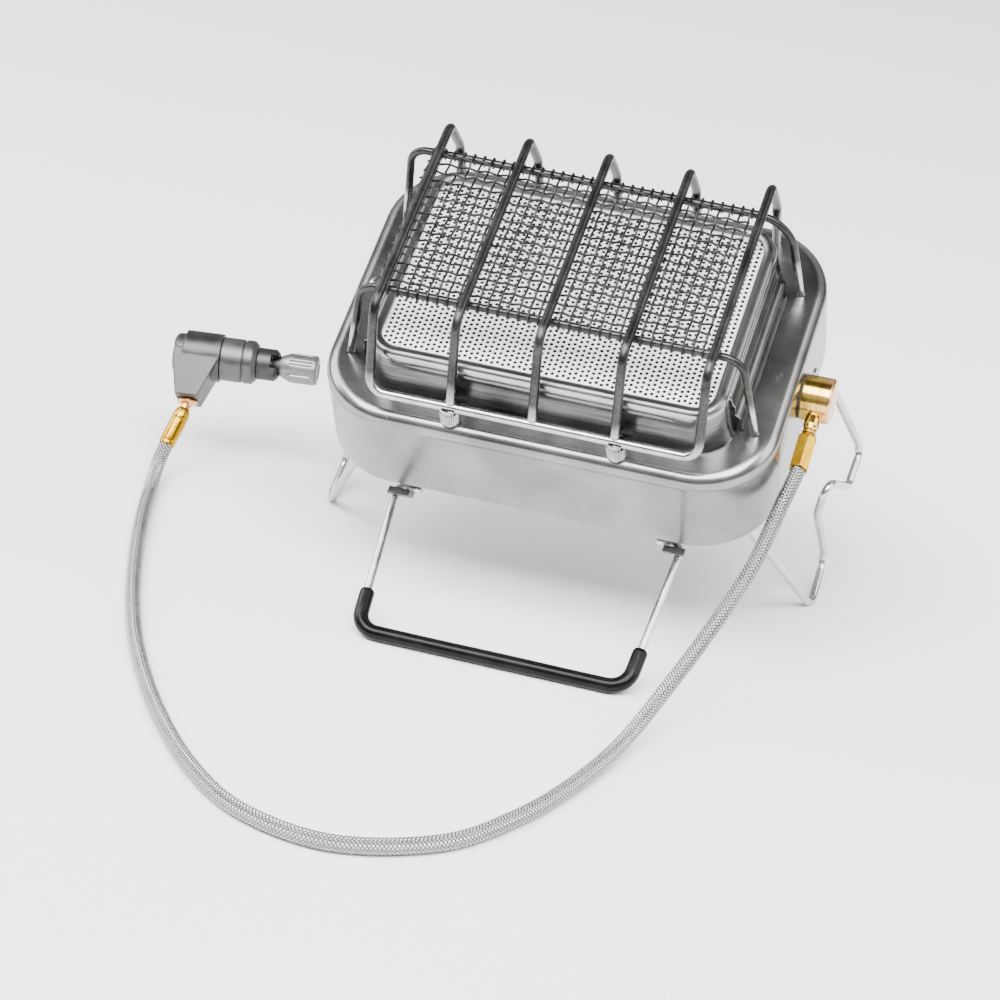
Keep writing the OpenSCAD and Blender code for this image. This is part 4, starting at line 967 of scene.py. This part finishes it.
def guard_look(place):
    plate = along_plate(place)
    clouds = plate.noise(90.0, 3.0)
    scale = plate.noise(900.0, 3.0)
    fired = (plate.part("Z") + (clouds - 0.5) * 0.012).ramp(0.0095, 0.018)
    plated = clouds.ramp(0.3, 0.7).colours((0.40, 0.397, 0.39), (0.62, 0.615, 0.60))
    dull = (clouds * 0.6 + scale * 0.4).ramp(0.3, 0.7).colours(
        (0.028, 0.0275, 0.0265), (0.075, 0.0735, 0.071))
    return {
        "Base Color": fired.colours(plated, dull),
        "Roughness": fired * 0.13 + (clouds * 0.08 + 0.14),
        "Height": (scale, 0.2, 0.00015)}


guard_steel = metal("guard_wire", guard_look)
dress(guard_steel, "guard_frame", "guard_rib_2", "guard_rib_3", "guard_rib_4",
      "front_cross_wire", "rear_cross_wire")

# Net
# Woven from crimped wire. The wires that run back to front are hooked round
# both cross wires; the others end in short stubs past the left rib.
front_cross, back_cross = Vector((0, -28.8, 35.475)), Vector((0, 39.2, 34.498))
net_span = (back_cross - front_cross).length
net_way = (back_cross - front_cross).normalized()
net_up = Vector((1, 0, 0)).cross(net_way)
net_left, net_right, net_plane, net_r, net_swing = -66.0, 58.0, 2.3, 0.45, 0.45
down_count, across_count, first_down, last_down, first_across = 33, 16, -64.9, 57.3, 2.7
down_pitch = (last_down - first_down) / (down_count - 1)
across_pitch = (net_span - 2 * first_across) / (across_count - 1)
wire_sides, wave_steps, hook_steps = 6, 4, 8
cross_wire_r, hook_gap, hook_turn = 1.5, 0.06, math.radians(200)
hook_r = cross_wire_r + net_r + hook_gap
uneven_down, uneven_across, uneven_stub = 0.12, 0.15, 0.5
shake = random.Random(5)
hook = []
for k in range(hook_steps + 1):
    turn = hook_turn * k / hook_steps
    hook.append((hook_r * math.sin(turn), hook_r * math.cos(turn)))
points, faces = [], []


def on_net(x, t, up):
    """Across the net, back from the front cross wire, and out of the net's plane."""
    spot = front_cross + t * net_way + up * net_up
    return on_plate(x, spot.y, spot.z)


def add_tube(line, radii, sides):
    """Adds a tube along the line, with a radius for each point, to points and faces."""
    start = len(points)
    for middle, radius, (side, up) in zip(line, radii, carried(line)):
        for k in range(sides):
            turn = math.tau * k / sides
            points.append(middle + radius * (math.cos(turn) * side + math.sin(turn) * up))
    for i in range(len(line) - 1):
        row = start + i * sides
        faces.extend(band(row, row + sides, sides))
    faces.append(tuple(start + k for k in reversed(range(sides))))
    faces.append(tuple(start + (len(line) - 1) * sides + k for k in range(sides)))


for i in range(down_count):
    x = first_down + i * down_pitch + shake.uniform(-uneven_down, uneven_down)
    line = [on_net(x, -out, up) for out, up in reversed(hook)]
    for j in range((across_count - 1) * wave_steps + 1):
        wave = math.cos(math.pi * j / wave_steps) * (1 if i % 2 else -1)
        line.append(on_net(x, first_across + j * across_pitch / wave_steps,
                           net_plane + net_swing * wave))
    line += [on_net(x, net_span + out, up) for out, up in hook]
    add_tube(line, [net_r] * len(line), wire_sides)
for j in range(across_count):
    t = first_across + j * across_pitch + shake.uniform(-uneven_across, uneven_across)
    line = [on_net(net_left - shake.uniform(0.0, uneven_stub) + uneven_stub, t, net_plane)]
    for i in range((down_count - 1) * wave_steps + 1):
        wave = math.cos(math.pi * i / wave_steps) * (-1 if j % 2 else 1)
        line.append(on_net(first_down + i * down_pitch / wave_steps, t,
                           net_plane + net_swing * wave))
    line.append(on_net(net_right, t, net_plane))
    add_tube(line, [net_r] * len(line), wire_sides)


def net_look(place):
    scale = place.noise(500.0, 3.0)
    clouds = place.noise(50.0, 3.0)
    return {
        "Base Color": (clouds * 0.5 + scale * 0.5).ramp(0.3, 0.7).colours(
            (0.018, 0.0175, 0.017), (0.062, 0.0605, 0.058)),
        "Roughness": clouds.ramp(0.25, 0.75, 0.36, 0.52)}


net_steel = metal("net_wire", net_look)
net = mesh_of("guard_net_woven", points, faces, net_steel)
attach(net, "heater")
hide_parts("guard_net")

# Posts
# Two turned posts with a knurled rim, riveted through the plate. The front
# rail lies in the slot across each of them.
post_x, post_y, post_r, post_top = 31.5, -55.5, 3.65, 9.3
slot_half, slot_floor, slot_top, slot_reach = 2.4, 6.55, 12, 5
ridges, ridge_low, ridge_deep = 24, 0.1, 0.42
post_steel = metal("post_steel", lambda place: {
    "Base Color": place.noise(300.0, 3.0).ramp(0.3, 0.7).colours(
        (0.30, 0.298, 0.29), (0.50, 0.495, 0.485)),
    "Roughness": place.noise(200.0, 2.0).ramp(0.3, 0.7, 0.14, 0.26)})


def knurled(depth):
    """Radius of the post at a turn, between and on its ridges."""
    return lambda turn: post_r - depth * (0.5 + 0.5 * math.cos(ridges * turn))


for side, hand in ((-1, "left"), (1, "right")):
    post = turned("knurled_post_" + hand, [
        (-2.3, 0), (-2.3, 2.1), (-2.1, 2.3), (-1.5, 2.3), (-1.3, 1.6), (0.02, 1.6), (0.02, 3.1),
        (0.5, 3.4), (1.0, 3.4), (1.3, knurled(ridge_low)), (1.6, knurled(ridge_deep)),
        (7.6, knurled(ridge_deep)), (7.9, knurled(ridge_low)), (8.8, 3.6), (post_top, 3.2),
        (post_top, 2.3), (post_top - 0.5, 2.0), (slot_floor - 0.3, 1.9), (slot_floor - 0.3, 0)],
        on_plate(side * post_x, post_y, 0), plate_way(0, 0, 1), post_steel, sides=192, sharp=50)
    cut_block(post, [on_plate(side * post_x + x, post_y + y, z)
                     for x in (-slot_reach, slot_reach) for y in (-slot_half, slot_half)
                     for z in (slot_floor, slot_top)])
    crisp(post, 50)
    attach(post, "heater")
    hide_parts("knurled_posts")

# Plate screw
# A pan-head screw with a cross recess, beside the burner's left end.
screw_x, screw_turn, head_r, head_side, head_high, dome_steps = -78, 0.4, 3.0, 0.5, 1.6, 6
blade_long, blade_half, blade_top, recess_floor = 1.5, 0.32, 3.0, 0.6
outline = [(-4.2, 0), (-4.2, 1.3), (-4.0, 1.5), (0, 1.5), (0, head_r)]
for k in range(dome_steps):
    turn = math.pi / 2 * k / dome_steps
    outline.append((head_side + (head_high - head_side) * math.sin(turn),
                    head_r * math.cos(turn) ** 0.6))
screw = turned("plate_screw_head", outline + [(head_high, 0)], on_plate(screw_x, 0, 0),
               plate_way(0, 0, 1), post_steel, sides=64, sharp=40)
for turn in (screw_turn, screw_turn + math.pi / 2):
    c, s = math.cos(turn), math.sin(turn)
    cut_block(screw, [on_plate(screw_x + x * c - y * s, x * s + y * c, z)
                      for x in (-blade_long, blade_long) for y in (-blade_half, blade_half)
                      for z in (recess_floor, blade_top)])
crisp(screw, 40)
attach(screw, "heater")
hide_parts("plate_screw")

# Legs
# Bright plated spring wire. The front leg turns on its two inward ends and
# folds back under the body; the rear one, bent in zigzags, turns in the side
# walls and has its crossbar under the body.


def leg_look(place):
    clouds = place.noise(80.0, 3.0)
    return {
        "Base Color": clouds.ramp(0.3, 0.7).colours((0.50, 0.50, 0.495), (0.66, 0.66, 0.65)),
        "Roughness": clouds.ramp(0.25, 0.75, 0.12, 0.26),
        "Height": (place.noise(600.0, 2.0), 0.1, 0.0001)}


leg_wire = metal("leg_wire", leg_look)
dress(leg_wire, "front_leg", "rear_leg")

# Sleeve of the front leg
# The bar and the lower ends of the arms are dipped in black plastic, which
# ends in a soft round bead.
pivot, bar = Vector((0, -23.0846, 39.2298)), Vector((0, -74.554, 2.9))
pivot_half, bar_half, sleeve_up, sleeve_r, sleeve_bend = 55.5, 51.5, 17.0, 2.9, 8.0
left_low, right_low = bar - Vector((bar_half, 0, 0)), bar + Vector((bar_half, 0, 0))
left_up = (pivot - Vector((pivot_half, 0, 0)) - left_low).normalized()
right_up = (pivot + Vector((pivot_half, 0, 0)) - right_low).normalized()


def round_corner(before, corner, after, radius, steps=12):
    """Points of an arc that joins the two runs that meet in a corner."""
    a, b = (before - corner).normalized(), (after - corner).normalized()
    half = a.angle(b) / 2
    middle = corner + (a + b).normalized() * radius / math.sin(half)
    start, end = corner + a * radius / math.tan(half), corner + b * radius / math.tan(half)
    side, up = start - middle, end - middle
    whole = side.angle(up)
    return [middle + (side * math.sin(whole * (1 - k / steps)) + up * math.sin(whole * k / steps))
            / math.sin(whole) for k in range(steps + 1)]


left_end, right_end = left_low + sleeve_up * left_up, right_low + sleeve_up * right_up
line = [left_end]
line += round_corner(left_end, left_low, right_low, sleeve_bend)
line += [left_low.lerp(right_low, k / 12) for k in range(2, 11)]
line += round_corner(left_low, right_low, right_end, sleeve_bend)
line += [right_end]
sleeve_step, sleeve_sides, bead_long, bead_r, uneven, uneven_long = 0.25, 40, 1.8, 1.56, 0.05, 36
run = even_run(line, sleeve_step)
radii = []
for i in range(len(run)):
    bead = min(1.0, sleeve_step * min(i, len(run) - 1 - i) / bead_long)
    full = sleeve_r - bead_r - uneven
    radii.append(bead_r + full * math.sqrt(1 - (1 - bead) ** 2)
                 + uneven * bead * math.sin(i / uneven_long))
points, faces = [], []
add_tube(run, radii, sleeve_sides)


def dipped_look(place):
    ripple = place.noise(220.0, 2.0)
    return {
        "Base Color": place.noise(90.0, 3.0).ramp(0.3, 0.7).colours(
            (0.002, 0.002, 0.002), (0.006, 0.006, 0.006)),
        "Roughness": place.noise(140.0, 3.0).ramp(0.3, 0.7, 0.14, 0.24),
        "Height": (ripple, 0.12, 0.0005)}


dipped = finish("black_dipped_plastic", dipped_look, Specular_IOR_Level=0.15)
sleeve = mesh_of("leg_sleeve_dipped", points, faces, dipped)
crisp(sleeve, 60)
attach(sleeve, "front_leg")
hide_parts("leg_sleeve")
